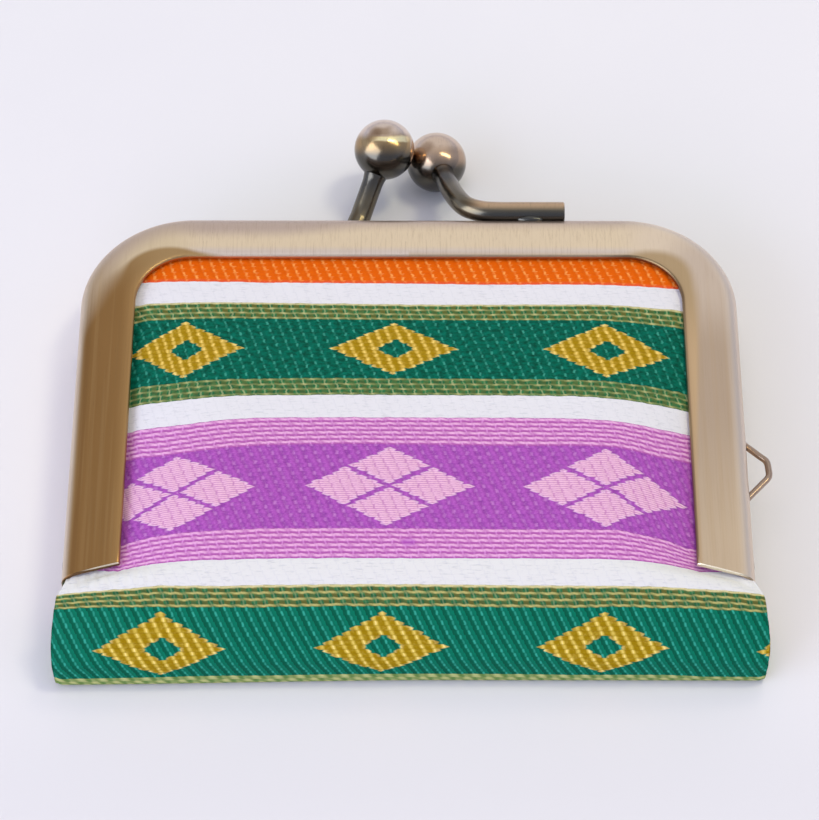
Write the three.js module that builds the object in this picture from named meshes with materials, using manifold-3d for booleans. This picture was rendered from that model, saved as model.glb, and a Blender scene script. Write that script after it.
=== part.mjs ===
// A small clasp-frame coin purse, closed and lying on its back.
// Two bent sheet-metal arches are hinged at their leg ends, each with a rod,
// stem and ball brazed on as its half of the clasp. A woven cloth bag is
// tucked into the grooves of both arches and hangs open between them.
//
// Millimetres. X runs across the purse, Y from the bag's bottom to the clasp,
// Z up from the surface it lies on. Y = 0 is the foot of the frame's legs.

import * as THREE from 'three';
import { mergeVertices } from 'three/addons/utils/BufferGeometryUtils.js';
import Module from 'manifold-3d';

// ---- frame -----------------------------------------------------------------
const FRAME_WIDTH = 64;        // outside of leg to outside of leg
const FRAME_HEIGHT = 42.9;     // leg foot to top edge
const CORNER_RADIUS = 10.8;    // outer corner of the arch
const FACE_WIDTH = 5.4;        // show face, rim to free edge
const INNER_LIP_WIDTH = 4.6;   // hidden lip that faces the other arch
const EDGE_ROUND = 1.6;        // rounding from show face into rim
const LIP_ROUND = 0.9;         // rounding from rim into hidden lip
const SHEET = 0.55;            // sheet thickness
const ARCH_DEPTH = 4.0;        // show face to hidden lip
const MID_Z = 4.7;             // plane where the arches meet
const MID_GAP = 0.15;          // half the gap between the closed arches
const FOOT_SLANT = 1.4;        // how far the show face's foot is cut back at its free edge
const CORNER_STEPS = 8;
const ROUND_STEPS = 4;

const FACE_Z = MID_Z + MID_GAP + ARCH_DEPTH;   // front show face
const BACK_Z = MID_Z - MID_GAP - ARCH_DEPTH;   // back show face

// ---- clasp -----------------------------------------------------------------
const BALL_RADIUS = 3.05;
const ROD_RADIUS = 1.05;
const ROD_SIDES = 10;
const ROD_Z_INSET = 0.95;      // rod axis below the show face
const ROD_Y = 0.9;             // rod axis beyond the top edge
const BRAZE = { length: 6.6, width: 0.9, height: 1.1 };
// Axis of each rod and stem. y is measured from the top edge, z inward from
// the show face of the arch that carries it.
const FRONT_STEM = [
  { at: 'cut end', x: 15.45, y: ROD_Y, z: ROD_Z_INSET },
  { at: 'rod', x: 11.0, y: ROD_Y, z: ROD_Z_INSET },
  { at: 'bend start', x: 7.3, y: ROD_Y + 0.08, z: ROD_Z_INSET },
  { at: 'bend', x: 5.3, y: 2.2, z: 1.45 },
  { at: 'stem', x: 4.35, y: 5.2, z: 3.0 },
  { at: 'ball', x: 2.79, y: 11.45, z: FACE_Z - BALL_RADIUS },
];
const BACK_STEM = [
  { at: 'cut end', x: -15.45, y: ROD_Y, z: ROD_Z_INSET },
  { at: 'rod', x: -11.4, y: ROD_Y, z: ROD_Z_INSET },
  { at: 'bend start', x: -8.3, y: ROD_Y + 0.08, z: ROD_Z_INSET },
  { at: 'bend', x: -6.2, y: 2.1, z: 1.3 },
  { at: 'stem', x: -5.05, y: 4.6, z: 2.2 },
  { at: 'ball', x: -2.5, y: 10.35, z: 6.35 - BACK_Z },
];

// ---- strap loop, a bent wire soldered to the right leg's rim -----------------
const LOOP_WIRE_RADIUS = 0.32;
const LOOP_Z = 6.1;
const LOOP = [
  { at: 'upper foot', out: 0.1, y: 16.6 },
  { at: 'upper corner', out: 1.95, y: 14.85 },
  { at: 'lower corner', out: 2.12, y: 12.9 },
  { at: 'lower foot', out: 0.1, y: 10.5 },
];

// ---- hinge -----------------------------------------------------------------
const HINGE_Y = 3.4;           // rivet axis above the leg foot
const RIVET_HEAD_RADIUS = 1.35;
const RIVET_SHANK_RADIUS = 0.55;
const EAR_RADIUS = 1.5;
const EAR_THICK = 0.5;
const BACK_EAR_INSET = 0.75;   // outer side of the back arch's ear, inward from the rim
const FRONT_EAR_INSET = 1.55;  // outer side of the front arch's ear
const GAP = 0.3;

// ---- cloth -----------------------------------------------------------------
const CLOTH = 1.0;             // wall thickness
const TUCK = 2.2;              // cloth edge inside the groove, inward from the rim
const LIP_CLEAR = 0.25;        // cloth below the lip's underside
const DOME_RUN = 11;           // run over which the cloth rises from the lip to its full height
const DOME_POWER = 2.4;
const PRESSED = 0.8;           // how far the back's bulge is pressed flat by the surface it lies on
const END_ROUND = 0.8;         // rounding of the bag's two ends
const BAG_OFFSET = 0.2;        // the bag sits a little to the right of the frame
const FRONT_GROOVE_Z = FACE_Z - SHEET - LIP_CLEAR;
const BACK_GROOVE_Z = BACK_Z + SHEET + LIP_CLEAR;
const LIP_HALF = FRAME_WIDTH / 2 - FACE_WIDTH - LIP_CLEAR;   // where the cloth comes out from under the legs
const TUCK_HALF = FRAME_WIDTH / 2 - TUCK;

// Sections of the bag, from the frame's corners down the front, round the
// bottom and up the back. y, z: along the middle; endY, endZ: at the ends;
// half: half width; lip: half width at which the cloth is free of the frame.
const FRONT_ROWS = [
  { at: 'below corner', y: 29.3, z: 9.2, endY: 29.3, endZ: FRONT_GROOVE_Z, half: TUCK_HALF, lip: LIP_HALF },
  { at: 'upper band', y: 25.5, z: 9.52, endY: 25.5, endZ: FRONT_GROOVE_Z, half: TUCK_HALF, lip: LIP_HALF },
  { at: 'middle', y: 20.0, z: 9.95, endY: 20.0, endZ: FRONT_GROOVE_Z, half: TUCK_HALF, lip: LIP_HALF },
  { at: 'fullest', y: 13.9, z: 10.22, endY: 13.9, endZ: FRONT_GROOVE_Z, half: TUCK_HALF, lip: LIP_HALF },
  { at: 'lower band', y: 8.8, z: 10.22, endY: 8.8, endZ: FRONT_GROOVE_Z, half: TUCK_HALF, lip: LIP_HALF },
  { at: 'above foot', y: 4.5, z: 10.08, endY: 4.6, endZ: FRONT_GROOVE_Z, half: TUCK_HALF, lip: LIP_HALF },
  { at: 'foot', y: 1.5, z: 9.74, endY: 1.2, endZ: FRONT_GROOVE_Z, half: TUCK_HALF, lip: LIP_HALF + 0.2 },
];
const BOTTOM_ROWS = [
  { at: 'shoulder', y: -0.3, z: 9.38, endY: -0.4, endZ: 8.0, half: 31.7, lip: 30.6 },
  { at: 'fold', y: -1.35, z: 8.98, endY: -1.5, endZ: 8.0, half: 32.4, lip: 32.2 },
  { at: 'band top', y: -2.8, z: 7.8, endY: -2.8, endZ: 7.0, half: 32.75, lip: 32.6 },
  { at: 'band upper', y: -3.95, z: 6.3, endY: -3.95, endZ: 5.7, half: 32.95, lip: 32.8 },
  { at: 'band middle', y: -4.85, z: 4.8, endY: -4.9, endZ: 4.4, half: 33.05, lip: 32.9 },
  { at: 'band lower', y: -5.8, z: 3.1, endY: -5.9, endZ: 2.9, half: 33.0, lip: 32.9 },
  { at: 'turn', y: -6.4, z: 1.85, endY: -6.5, endZ: 1.8, half: 32.9, lip: 32.8 },
  { at: 'lowest edge', y: -6.45, z: 0.95, endY: -6.55, endZ: 1.0, half: 32.8, lip: 32.7 },
  { at: 'under turn', y: -5.9, z: 0.3, endY: -5.95, endZ: 0.4, half: 32.7, lip: 32.6 },
  { at: 'under', y: -4.9, z: 0, endY: -4.9, endZ: 0.1, half: 32.65, lip: 32.5 },
  { at: 'under bag', y: -3.4, z: 0, endY: -3.4, endZ: 0.1, half: 32.6, lip: 32.2 },
  { at: 'under fold', y: -1.9, z: 0, endY: -1.8, endZ: 0.4, half: 32.4, lip: 31.6 },
  { at: 'under shoulder', y: -0.6, z: 0, endY: -0.4, endZ: 1.0, half: 31.7, lip: 30.6 },
];
const BACK_ROWS = [
  { at: 'back foot', y: 1.4, z: -PRESSED, endY: 0.3, endZ: BACK_GROOVE_Z, half: TUCK_HALF, lip: LIP_HALF + 0.2 },
  { at: 'back lower', y: 10, z: -PRESSED, endY: 10, endZ: BACK_GROOVE_Z, half: TUCK_HALF, lip: LIP_HALF },
  { at: 'back middle', y: 20, z: -PRESSED, endY: 20, endZ: BACK_GROOVE_Z, half: TUCK_HALF, lip: LIP_HALF },
  { at: 'back upper', y: 29.3, z: 0.2, endY: 29.3, endZ: BACK_GROOVE_Z, half: TUCK_HALF, lip: LIP_HALF },
];
// Rise of the cloth's middle between the corner's start and the top lip.
const TOP_ROWS = [
  { angle: 90, rise: 0 },
  { angle: 62, rise: 0 },
  { angle: 40, rise: 0.1 },
  { angle: 20, rise: 0.55 },
  { angle: 0, rise: 0.82 },
];
const ACROSS = [0, 0.18, 0.36, 0.52, 0.64, 0.74, 0.82, 0.885, 0.945, 1];   // columns, middle to end
const CAP_STEPS = 4;           // facets across each end of the bag

// ---- finishes ----------------------------------------------------------------
const brass = () => new THREE.MeshStandardMaterial({ color: 0xb39a6e, roughness: 0.38, metalness: 1 });
const darkBrass = () => new THREE.MeshStandardMaterial({ color: 0x7d6c52, roughness: 0.3, metalness: 1 });
const weave = () => new THREE.MeshStandardMaterial({ color: 0x8a4f9a, roughness: 0.85, metalness: 0 });

// ---- solids: joining and cutting ----------------------------------------------
const wasm = await Module();
wasm.setup();

function solid(geometry) {
  const bare = geometry.clone();
  for (const name of Object.keys(bare.attributes)) if (name !== 'position') bare.deleteAttribute(name);
  const g = mergeVertices(bare, 1e-5);
  return new wasm.Manifold(new wasm.Mesh({
    numProp: 3,
    vertProperties: new Float32Array(g.attributes.position.array),
    triVerts: new Uint32Array(g.index.array),
  }));
}

function geometryOf(manifold) {
  const m = manifold.getMesh();
  const g = new THREE.BufferGeometry();
  g.setAttribute('position', new THREE.BufferAttribute(new Float32Array(m.vertProperties), 3));
  g.setIndex(new THREE.BufferAttribute(new Uint32Array(m.triVerts), 1));
  g.computeVertexNormals();
  return g;
}

const box = (x0, x1, y0, y1, z0, z1) =>
  solid(new THREE.BoxGeometry(x1 - x0, y1 - y0, z1 - z0).translate((x0 + x1) / 2, (y0 + y1) / 2, (z0 + z1) / 2));

// A cylinder along X from x0 to x1.
const pinX = (x0, x1, y, z, radius, sides = 16) =>
  solid(new THREE.CylinderGeometry(radius, radius, x1 - x0, sides).rotateZ(Math.PI / 2).translate((x0 + x1) / 2, y, z));

function circleShape(radius, sides) {
  const pts = [];
  for (let i = 0; i < sides; i++) {
    const a = (i / sides) * 2 * Math.PI;
    pts.push(new THREE.Vector2(radius * Math.cos(a), radius * Math.sin(a)));
  }
  return new THREE.Shape(pts);
}

const tube = (curve, radius, sides, steps) =>
  solid(new THREE.ExtrudeGeometry(circleShape(radius, sides), { steps, bevelEnabled: false, extrudePath: curve }));

const ball = (x, y, z, radius) =>
  solid(new THREE.SphereGeometry(radius, 18, 12).rotateX(Math.PI / 2).translate(x, y, z));

// ---- one arch: a channel section bent round a U --------------------------------
// Points of the section: n runs inward from the rim, d from the show face.
function channelSection() {
  const pts = [];
  const arc = (cn, cd, r, a0, a1) => {
    for (let i = 0; i <= ROUND_STEPS; i++) {
      const a = THREE.MathUtils.degToRad(a0 + ((a1 - a0) * i) / ROUND_STEPS);
      pts.push({ n: cn - r * Math.sin(a), d: cd - r * Math.cos(a) });
    }
  };
  pts.push({ n: FACE_WIDTH, d: SHEET });
  pts.push({ n: FACE_WIDTH, d: 0.15 });
  pts.push({ n: FACE_WIDTH - 0.15, d: 0 });
  arc(EDGE_ROUND, EDGE_ROUND, EDGE_ROUND, 0, 90);
  arc(LIP_ROUND, ARCH_DEPTH - LIP_ROUND, LIP_ROUND, 90, 180);
  pts.push({ n: INNER_LIP_WIDTH, d: ARCH_DEPTH });
  pts.push({ n: INNER_LIP_WIDTH, d: ARCH_DEPTH - SHEET });
  arc(LIP_ROUND, ARCH_DEPTH - LIP_ROUND, LIP_ROUND - SHEET, 180, 90);
  arc(EDGE_ROUND, EDGE_ROUND, EDGE_ROUND - SHEET, 90, 0);
  return pts;
}

// Stations of the U: each gives the place of a point set n inward from the rim.
function archStations() {
  const half = FRAME_WIDTH / 2;
  const cx = half - CORNER_RADIUS;
  const cy = FRAME_HEIGHT - CORNER_RADIUS;
  const foot = (n) => (FOOT_SLANT * n) / FACE_WIDTH;
  const stations = [(n) => [-half + n, foot(n)]];
  for (const side of [-1, 1]) {
    for (let i = 0; i <= CORNER_STEPS; i++) {
      const t = side < 0 ? i / CORNER_STEPS : 1 - i / CORNER_STEPS;
      const a = (t * Math.PI) / 2;
      stations.push((n) => [
        side * (cx + (CORNER_RADIUS - n) * Math.cos(a)),
        cy + (CORNER_RADIUS - n) * Math.sin(a),
      ]);
    }
  }
  stations.push((n) => [half - n, foot(n)]);
  return stations;
}

// facing +1: show face up (front arch); -1: show face down (back arch).
function arch(facing) {
  const section = channelSection();
  const stations = archStations();
  const showZ = facing > 0 ? FACE_Z : BACK_Z;
  const m = section.length;
  const pos = [];
  for (const at of stations) {
    for (const p of section) {
      const [x, y] = at(p.n);
      pos.push(x, y, showZ - facing * p.d);
    }
  }
  const tri = [];
  const put = (a, b, c) => (facing > 0 ? tri.push(a, b, c) : tri.push(a, c, b));
  for (let s = 0; s + 1 < stations.length; s++) {
    for (let k = 0; k < m; k++) {
      const a = s * m + k, b = s * m + ((k + 1) % m), c = a + m, d = b + m;
      put(a, b, d);
      put(a, d, c);
    }
  }
  const contour = section.map((p) => new THREE.Vector2(p.n, p.d));
  const last = (stations.length - 1) * m;
  const winding = Math.sign(THREE.ShapeUtils.area(contour));
  for (const face of THREE.ShapeUtils.triangulateShape(contour, [])) {
    const along = Math.sign(THREE.ShapeUtils.area(face.map((q) => contour[q]))) === winding;
    const [i, j, k] = along ? face : [face[0], face[2], face[1]];
    put(i, k, j);
    put(last + i, last + j, last + k);
  }
  const g = new THREE.BufferGeometry();
  g.setAttribute('position', new THREE.Float32BufferAttribute(pos, 3));
  g.setIndex(tri);
  return orientedSolid(g);
}

// Turns a closed mesh the right way round if its faces point inward.
function orientedSolid(g) {
  const p = g.attributes.position, ix = g.index.array;
  const a = new THREE.Vector3(), b = new THREE.Vector3(), c = new THREE.Vector3();
  let volume = 0;
  for (let i = 0; i < ix.length; i += 3) {
    a.fromBufferAttribute(p, ix[i]);
    b.fromBufferAttribute(p, ix[i + 1]);
    c.fromBufferAttribute(p, ix[i + 2]);
    volume += a.dot(b.clone().cross(c));
  }
  if (volume < 0) {
    const turned = [];
    for (let i = 0; i < ix.length; i += 3) turned.push(ix[i], ix[i + 2], ix[i + 1]);
    g.setIndex(turned);
  }
  return solid(g);
}

// Rod, stem and ball of one arch, with the braze under the rod.
function clasp(rows, facing) {
  const showZ = facing > 0 ? FACE_Z : BACK_Z;
  const pts = rows.map((r) => new THREE.Vector3(r.x, FRAME_HEIGHT + r.y, showZ - facing * r.z));
  const top = pts[pts.length - 1];
  const stem = tube(new THREE.CatmullRomCurve3(pts, false, 'centripetal'), ROD_RADIUS, ROD_SIDES, 22);
  const knob = ball(top.x, top.y, top.z, BALL_RADIUS);
  const mid = (rows[0].x + rows[2].x) / 2;
  const rodZ = showZ - facing * (ROD_Z_INSET + 0.35);
  const braze = box(mid - BRAZE.length / 2, mid + BRAZE.length / 2,
    FRAME_HEIGHT - SHEET + 0.1, FRAME_HEIGHT + BRAZE.width,
    rodZ - BRAZE.height / 2, rodZ + BRAZE.height / 2);
  return stem.add(knob).add(braze);
}

function strapLoop() {
  const pts = LOOP.map((r) => new THREE.Vector3(FRAME_WIDTH / 2 + r.out, r.y, LOOP_Z));
  let loop = null;
  for (let i = 0; i + 1 < pts.length; i++) {
    const leg = tube(new THREE.LineCurve3(pts[i], pts[i + 1]), LOOP_WIRE_RADIUS, 8, 1);
    loop = loop ? loop.add(leg) : leg;
    if (i > 0) loop = loop.add(solid(new THREE.SphereGeometry(LOOP_WIRE_RADIUS * 1.02, 8, 6).translate(pts[i].x, pts[i].y, pts[i].z)));
  }
  return loop;
}

// The hinge ear of one arch on one side, and what is cut away to make room.
// Seen from the side, the ear is a tongue that crosses the middle plane.
function withHinge(frame, facing) {
  const half = FRAME_WIDTH / 2;
  const inset = facing > 0 ? FRONT_EAR_INSET : BACK_EAR_INSET;
  const span = (side, n0, n1) => (side > 0 ? [half - n1, half - n0] : [-half + n0, -half + n1]);
  let out = frame;
  for (const side of [-1, 1]) {
    const [r0, r1] = span(side, -1, SHEET + 0.15);
    out = out.subtract(pinX(r0, r1, HINGE_Y, MID_Z, RIVET_HEAD_RADIUS + GAP));
    const [c0, c1] = span(side, SHEET - 0.05, 3.2);
    out = out.subtract(box(c0, c1, HINGE_Y - EAR_RADIUS - 1.2, HINGE_Y + EAR_RADIUS + GAP + 0.1, MID_Z - 1.4, MID_Z + 1.4));
    const [e0, e1] = span(side, inset, inset + EAR_THICK);
    const rootZ = [MID_Z + facing * 2.05, MID_Z + facing * 2.9].sort((a, b) => a - b);
    const tongueZ = [MID_Z, MID_Z + facing * 2.9].sort((a, b) => a - b);
    let ear = pinX(e0, e1, HINGE_Y, MID_Z, EAR_RADIUS);
    ear = ear.add(box(e0, e1, HINGE_Y - EAR_RADIUS, HINGE_Y + EAR_RADIUS, tongueZ[0], tongueZ[1]));
    const [b0, b1] = span(side, SHEET - 0.2, inset + EAR_THICK);
    ear = ear.add(box(b0, b1, HINGE_Y - EAR_RADIUS, HINGE_Y + EAR_RADIUS, rootZ[0], rootZ[1]));
    const [h0, h1] = span(side, inset - 0.5, inset + EAR_THICK + 0.5);
    ear = ear.subtract(pinX(h0, h1, HINGE_Y, MID_Z, RIVET_SHANK_RADIUS + GAP));
    out = out.add(ear);
  }
  return out;
}

// A rivet: a flush outer head, a shank through both ears, and an inner head.
function rivet(side) {
  const half = FRAME_WIDTH / 2;
  const inner = FRONT_EAR_INSET + EAR_THICK + GAP;
  const profile = [
    { n: 0.02, r: 0 },
    { n: 0.02, r: RIVET_HEAD_RADIUS - 0.25 },
    { n: 0.2, r: RIVET_HEAD_RADIUS },
    { n: BACK_EAR_INSET - GAP, r: RIVET_HEAD_RADIUS },
    { n: BACK_EAR_INSET - GAP, r: RIVET_SHANK_RADIUS },
    { n: inner, r: RIVET_SHANK_RADIUS },
    { n: inner, r: RIVET_SHANK_RADIUS + 0.5 },
    { n: inner + 0.4, r: RIVET_SHANK_RADIUS + 0.3 },
    { n: inner + 0.5, r: 0 },
  ];
  const lathe = new THREE.LatheGeometry(profile.map((p) => new THREE.Vector2(p.r, p.n)), 16);
  // The lathe's axis is Y; turn it so that n runs inward along X.
  lathe.rotateZ(side > 0 ? Math.PI / 2 : -Math.PI / 2).translate(side * half, HINGE_Y, MID_Z);
  const bare = lathe.clone();
  for (const name of ['normal', 'uv']) bare.deleteAttribute(name);
  return orientedSolid(dropSlivers(mergeVertices(bare, 1e-5)));
}

// Removes triangles that have lost a side where vertices were merged.
function dropSlivers(g) {
  const ix = g.index.array, keep = [];
  for (let i = 0; i < ix.length; i += 3) {
    if (ix[i] !== ix[i + 1] && ix[i + 1] !== ix[i + 2] && ix[i] !== ix[i + 2]) keep.push(ix[i], ix[i + 1], ix[i + 2]);
  }
  g.setIndex(keep);
  return g;
}

// ---- the bag -------------------------------------------------------------------
const dome = (s) => 1 - Math.pow(1 - THREE.MathUtils.clamp(s, 0, 1), DOME_POWER);

// Sections inside the rounded corners, from the top groove down to the corner's start.
function cornerRows(grooveZ, facing) {
  const cx = FRAME_WIDTH / 2 - CORNER_RADIUS;
  const cy = FRAME_HEIGHT - CORNER_RADIUS;
  const r = CORNER_RADIUS - TUCK;
  const free = CORNER_RADIUS - FACE_WIDTH - LIP_CLEAR;
  return TOP_ROWS.map(({ angle, rise }) => {
    const a = THREE.MathUtils.degToRad(angle);
    const y = cy + r * Math.sin(a);
    const up = y - cy;
    const lip = up < free ? cx + Math.sqrt(free * free - up * up) : 0;
    return { y, z: grooveZ + facing * rise, endY: y, endZ: grooveZ, half: cx + r * Math.cos(a), lip };
  });
}

function bagRows() {
  const front = [...cornerRows(FRONT_GROOVE_Z, 1), ...FRONT_ROWS];
  const back = [...BACK_ROWS, ...cornerRows(BACK_GROOVE_Z, -1).reverse()];
  const rows = [...front, ...BOTTOM_ROWS, ...back];
  return { rows, first: front.length, last: front.length + BOTTOM_ROWS.length - 1 };
}

// Outer face of the bag as a grid: rows round the section, columns across.
function bagGrid(rows, first, last) {
  const cols = [...ACROSS.slice(1).reverse().map((f) => -f), ...ACROSS];
  return rows.map((row, j) => cols.map((f) => {
    const across = f * row.half;
    const x = across + (j >= first && j <= last ? BAG_OFFSET : 0);
    const k = dome((row.lip - Math.abs(across)) / DOME_RUN);
    let y = row.endY + (row.y - row.endY) * k;
    let z = Math.max(0, row.endZ + (row.z - row.endZ) * k);
    if (Math.abs(f) === 1 && j >= first && j <= last) {
      const inward = new THREE.Vector2(-0.6 - y, MID_Z - z).setLength(END_ROUND);
      y += inward.x;
      z += inward.y;
    }
    return new THREE.Vector3(x, y, z);
  }));
}

function bag() {
  const { rows, first, last } = bagRows();
  const outer = bagGrid(rows, first, last);
  const nr = outer.length, nc = outer[0].length;
  const closed = (j) => j >= first && j <= last;
  // Inner face: each point set in by the wall's thickness.
  const inner = outer.map((line, j) => line.map((p, i) => {
    const du = line[Math.min(i + 1, nc - 1)].clone().sub(line[Math.max(i - 1, 0)]);
    const dv = outer[Math.min(j + 1, nr - 1)][i].clone().sub(outer[Math.max(j - 1, 0)][i]);
    if (i === 0 || i === nc - 1) du.set(1, 0, 0);
    const normal = dv.cross(du).normalize();
    const q = p.clone().addScaledVector(normal, -CLOTH);
    if (closed(j) && (i === 0 || i === nc - 1)) q.x -= Math.sign(p.x) * CLOTH;
    return q;
  }));
  const pos = [], tri = [];
  const add = (v) => pos.push(v.x, v.y, v.z) / 3 - 1;
  const ids = [outer, inner].map((grid) => grid.map((line) => line.map(add)));
  const quad = (a, b, c, d) => tri.push(a, b, c, a, c, d);
  const turn = (flip, a, b, c, d) => (flip ? quad(d, c, b, a) : quad(a, b, c, d));
  const rim = [];   // matching outer and inner points round the free edge
  ids.forEach((grid, skin) => {
    for (let j = 0; j + 1 < nr; j++) {
      for (let i = 0; i + 1 < nc; i++) turn(skin === 1, grid[j][i], grid[j + 1][i], grid[j + 1][i + 1], grid[j][i + 1]);
    }
  });
  // Ends: strips from the front half of the section to the back half.
  const capTop = {};
  for (const i of [0, nc - 1]) {
    capTop[i] = [outer, inner].map((grid, skin) => {
      const half = Math.floor((last - first) / 2);
      const lines = [];
      for (let k = 0; k <= half; k++) {
        const a = first + k, b = last - k;
        const line = [];
        if (a === b) {
          lines.push([ids[skin][a][i]]);
          continue;
        }
        for (let s = 0; s <= CAP_STEPS; s++) {
          if (s === 0) line.push(ids[skin][a][i]);
          else if (s === CAP_STEPS) line.push(ids[skin][b][i]);
          else line.push(add(grid[a][i].clone().lerp(grid[b][i], s / CAP_STEPS)));
        }
        lines.push(line);
      }
      const flip = (i !== 0) !== (skin === 1);
      for (let k = 0; k + 1 < lines.length; k++) {
        const u = lines[k], v = lines[k + 1];
        for (let s = 0; s < CAP_STEPS; s++) {
          if (v.length === 1) flip ? tri.push(v[0], u[s + 1], u[s]) : tri.push(u[s], u[s + 1], v[0]);
          else turn(flip, u[s], u[s + 1], v[s + 1], v[s]);
        }
      }
      return lines[0];
    });
  }
  // The free edge: front mouth, right front, right end, right back, back mouth, left back, left end, left front.
  const edge = (j, i) => rim.push([ids[0][j][i], ids[1][j][i]]);
  const capEdge = (i, reverse) => {
    const n = CAP_STEPS;
    for (let s = 1; s < n; s++) {
      const q = reverse ? n - s : s;
      rim.push([capTop[i][0][q], capTop[i][1][q]]);
    }
  };
  for (let i = 0; i < nc; i++) edge(0, i);
  for (let j = 1; j <= first; j++) edge(j, nc - 1);
  capEdge(nc - 1, false);
  for (let j = last; j < nr; j++) edge(j, nc - 1);
  for (let i = nc - 2; i >= 0; i--) edge(nr - 1, i);
  for (let j = nr - 2; j >= last; j--) edge(j, 0);
  capEdge(0, true);
  for (let j = first; j >= 1; j--) edge(j, 0);
  for (let k = 0; k < rim.length; k++) {
    const [a, b] = rim[k], [c, d] = rim[(k + 1) % rim.length];
    quad(a, c, d, b);
  }
  const g = new THREE.BufferGeometry();
  g.setAttribute('position', new THREE.Float32BufferAttribute(pos, 3));
  g.setIndex(tri);
  return orientedSolid(g);
}

// ---- assembly --------------------------------------------------------------------
const purse = new THREE.Group();

function piece(name, manifold, material) {
  const mesh = new THREE.Mesh(geometryOf(manifold), material);
  mesh.name = name;
  purse.add(mesh);
  return mesh;
}

piece('front_frame', withHinge(arch(1), 1).add(clasp(FRONT_STEM, 1)).add(strapLoop()), brass());
piece('back_frame', withHinge(arch(-1), -1).add(clasp(BACK_STEM, -1)), brass());
piece('hinge_rivet_left', rivet(-1), darkBrass());
piece('hinge_rivet_right', rivet(1), darkBrass());
piece('pouch_body', bag(), weave());

// The origin is under the middle of the purse, on the surface it lies on.
const bounds = new THREE.Box3().setFromObject(purse);
const centre = bounds.getCenter(new THREE.Vector3());
purse.position.set(-centre.x, -centre.y, -bounds.min.z);
purse.updateMatrixWorld(true);

export default purse;
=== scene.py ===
import math

import bpy
import numpy as np
from mathutils import Matrix, Vector


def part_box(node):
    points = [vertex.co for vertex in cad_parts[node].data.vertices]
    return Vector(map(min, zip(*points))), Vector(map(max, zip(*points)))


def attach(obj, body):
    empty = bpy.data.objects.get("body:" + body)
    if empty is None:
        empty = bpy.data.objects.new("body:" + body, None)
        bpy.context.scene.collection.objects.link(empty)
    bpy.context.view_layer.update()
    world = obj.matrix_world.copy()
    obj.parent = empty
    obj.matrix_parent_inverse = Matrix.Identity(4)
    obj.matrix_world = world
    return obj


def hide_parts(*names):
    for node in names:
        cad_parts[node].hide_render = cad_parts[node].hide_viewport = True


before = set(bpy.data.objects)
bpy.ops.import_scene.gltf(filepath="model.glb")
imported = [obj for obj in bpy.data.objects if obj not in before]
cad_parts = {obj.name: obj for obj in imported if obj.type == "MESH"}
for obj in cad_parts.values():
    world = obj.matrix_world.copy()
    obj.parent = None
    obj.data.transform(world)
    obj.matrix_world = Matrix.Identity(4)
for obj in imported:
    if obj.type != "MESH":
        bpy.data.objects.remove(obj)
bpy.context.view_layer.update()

# All sizes below are in millimetres in the design frame of the part: X across,
# Y up the purse from the leg feet, Z up from the table.
_lo, _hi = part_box("front_frame")
SHIFT = np.array([_lo.x * 1000 + 32.0, _lo.y * 1000, 0.0])


def row(points):
    return (np.asarray(points, float) + SHIFT) * 0.001


# ---------------------------------------------------------------- meshes
def mesh_object(name, verts, faces, materials, index=None, smooth_angle=40):
    me = bpy.data.meshes.new(name)
    me.from_pydata([tuple(p) for p in row(verts)], [], [tuple(int(i) for i in f) for f in faces])
    for m in materials:
        me.materials.append(m)
    if index is not None:
        me.polygons.foreach_set("material_index", np.asarray(index, np.int32))
    me.polygons.foreach_set("use_smooth", np.ones(len(me.polygons), bool))
    me.validate(clean_customdata=False)
    me.update()
    if smooth_angle:
        me.set_sharp_from_angle(angle=math.radians(smooth_angle))
    ob = bpy.data.objects.new(name, me)
    bpy.context.scene.collection.objects.link(ob)
    return ob


class Build:
    """Several shells gathered into one mesh."""

    def __init__(self):
        self.v, self.f, self.m = [], [], []
        self.n = 0

    def add(self, verts, faces, mat=0):
        verts = np.asarray(verts, float)
        self.v.append(verts)
        self.f += [[i + self.n for i in f] for f in faces]
        self.m += [mat] * len(faces)
        self.n += len(verts)

    def done(self, name, materials, **k):
        return mesh_object(name, np.concatenate(self.v), self.f, materials, self.m, **k)


def pchip(x, y, q):
    """Smooth curve through a table that never overshoots it."""
    x, y = np.asarray(x, float), np.asarray(y, float)
    h = np.diff(x)
    d = np.diff(y) / h
    m = np.zeros_like(y)
    for i in range(1, len(x) - 1):
        if d[i - 1] * d[i] > 0:
            w1, w2 = 2 * h[i] + h[i - 1], h[i] + 2 * h[i - 1]
            m[i] = (w1 + w2) / (w1 / d[i - 1] + w2 / d[i])
    m[0], m[-1] = d[0], d[-1]
    q = np.asarray(q, float)
    i = np.clip(np.searchsorted(x, q) - 1, 0, len(h) - 1)
    t = (q - x[i]) / h[i]
    return (y[i] * (1 + 2 * t) * (1 - t) ** 2 + m[i] * h[i] * t * (1 - t) ** 2
            + y[i + 1] * t * t * (3 - 2 * t) + m[i + 1] * h[i] * t * t * (t - 1))


def smoothstep(a, b, x):
    t = np.clip((np.asarray(x, float) - a) / (b - a), 0, 1)
    return t * t * (3 - 2 * t)


# ---------------------------------------------------------------- node trees
def lin(r, g, b):
    def one(c):
        c /= 255.0
        return c / 12.92 if c <= 0.04045 else ((c + 0.055) / 1.055) ** 2.4
    return (one(r), one(g), one(b), 1.0)


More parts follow.
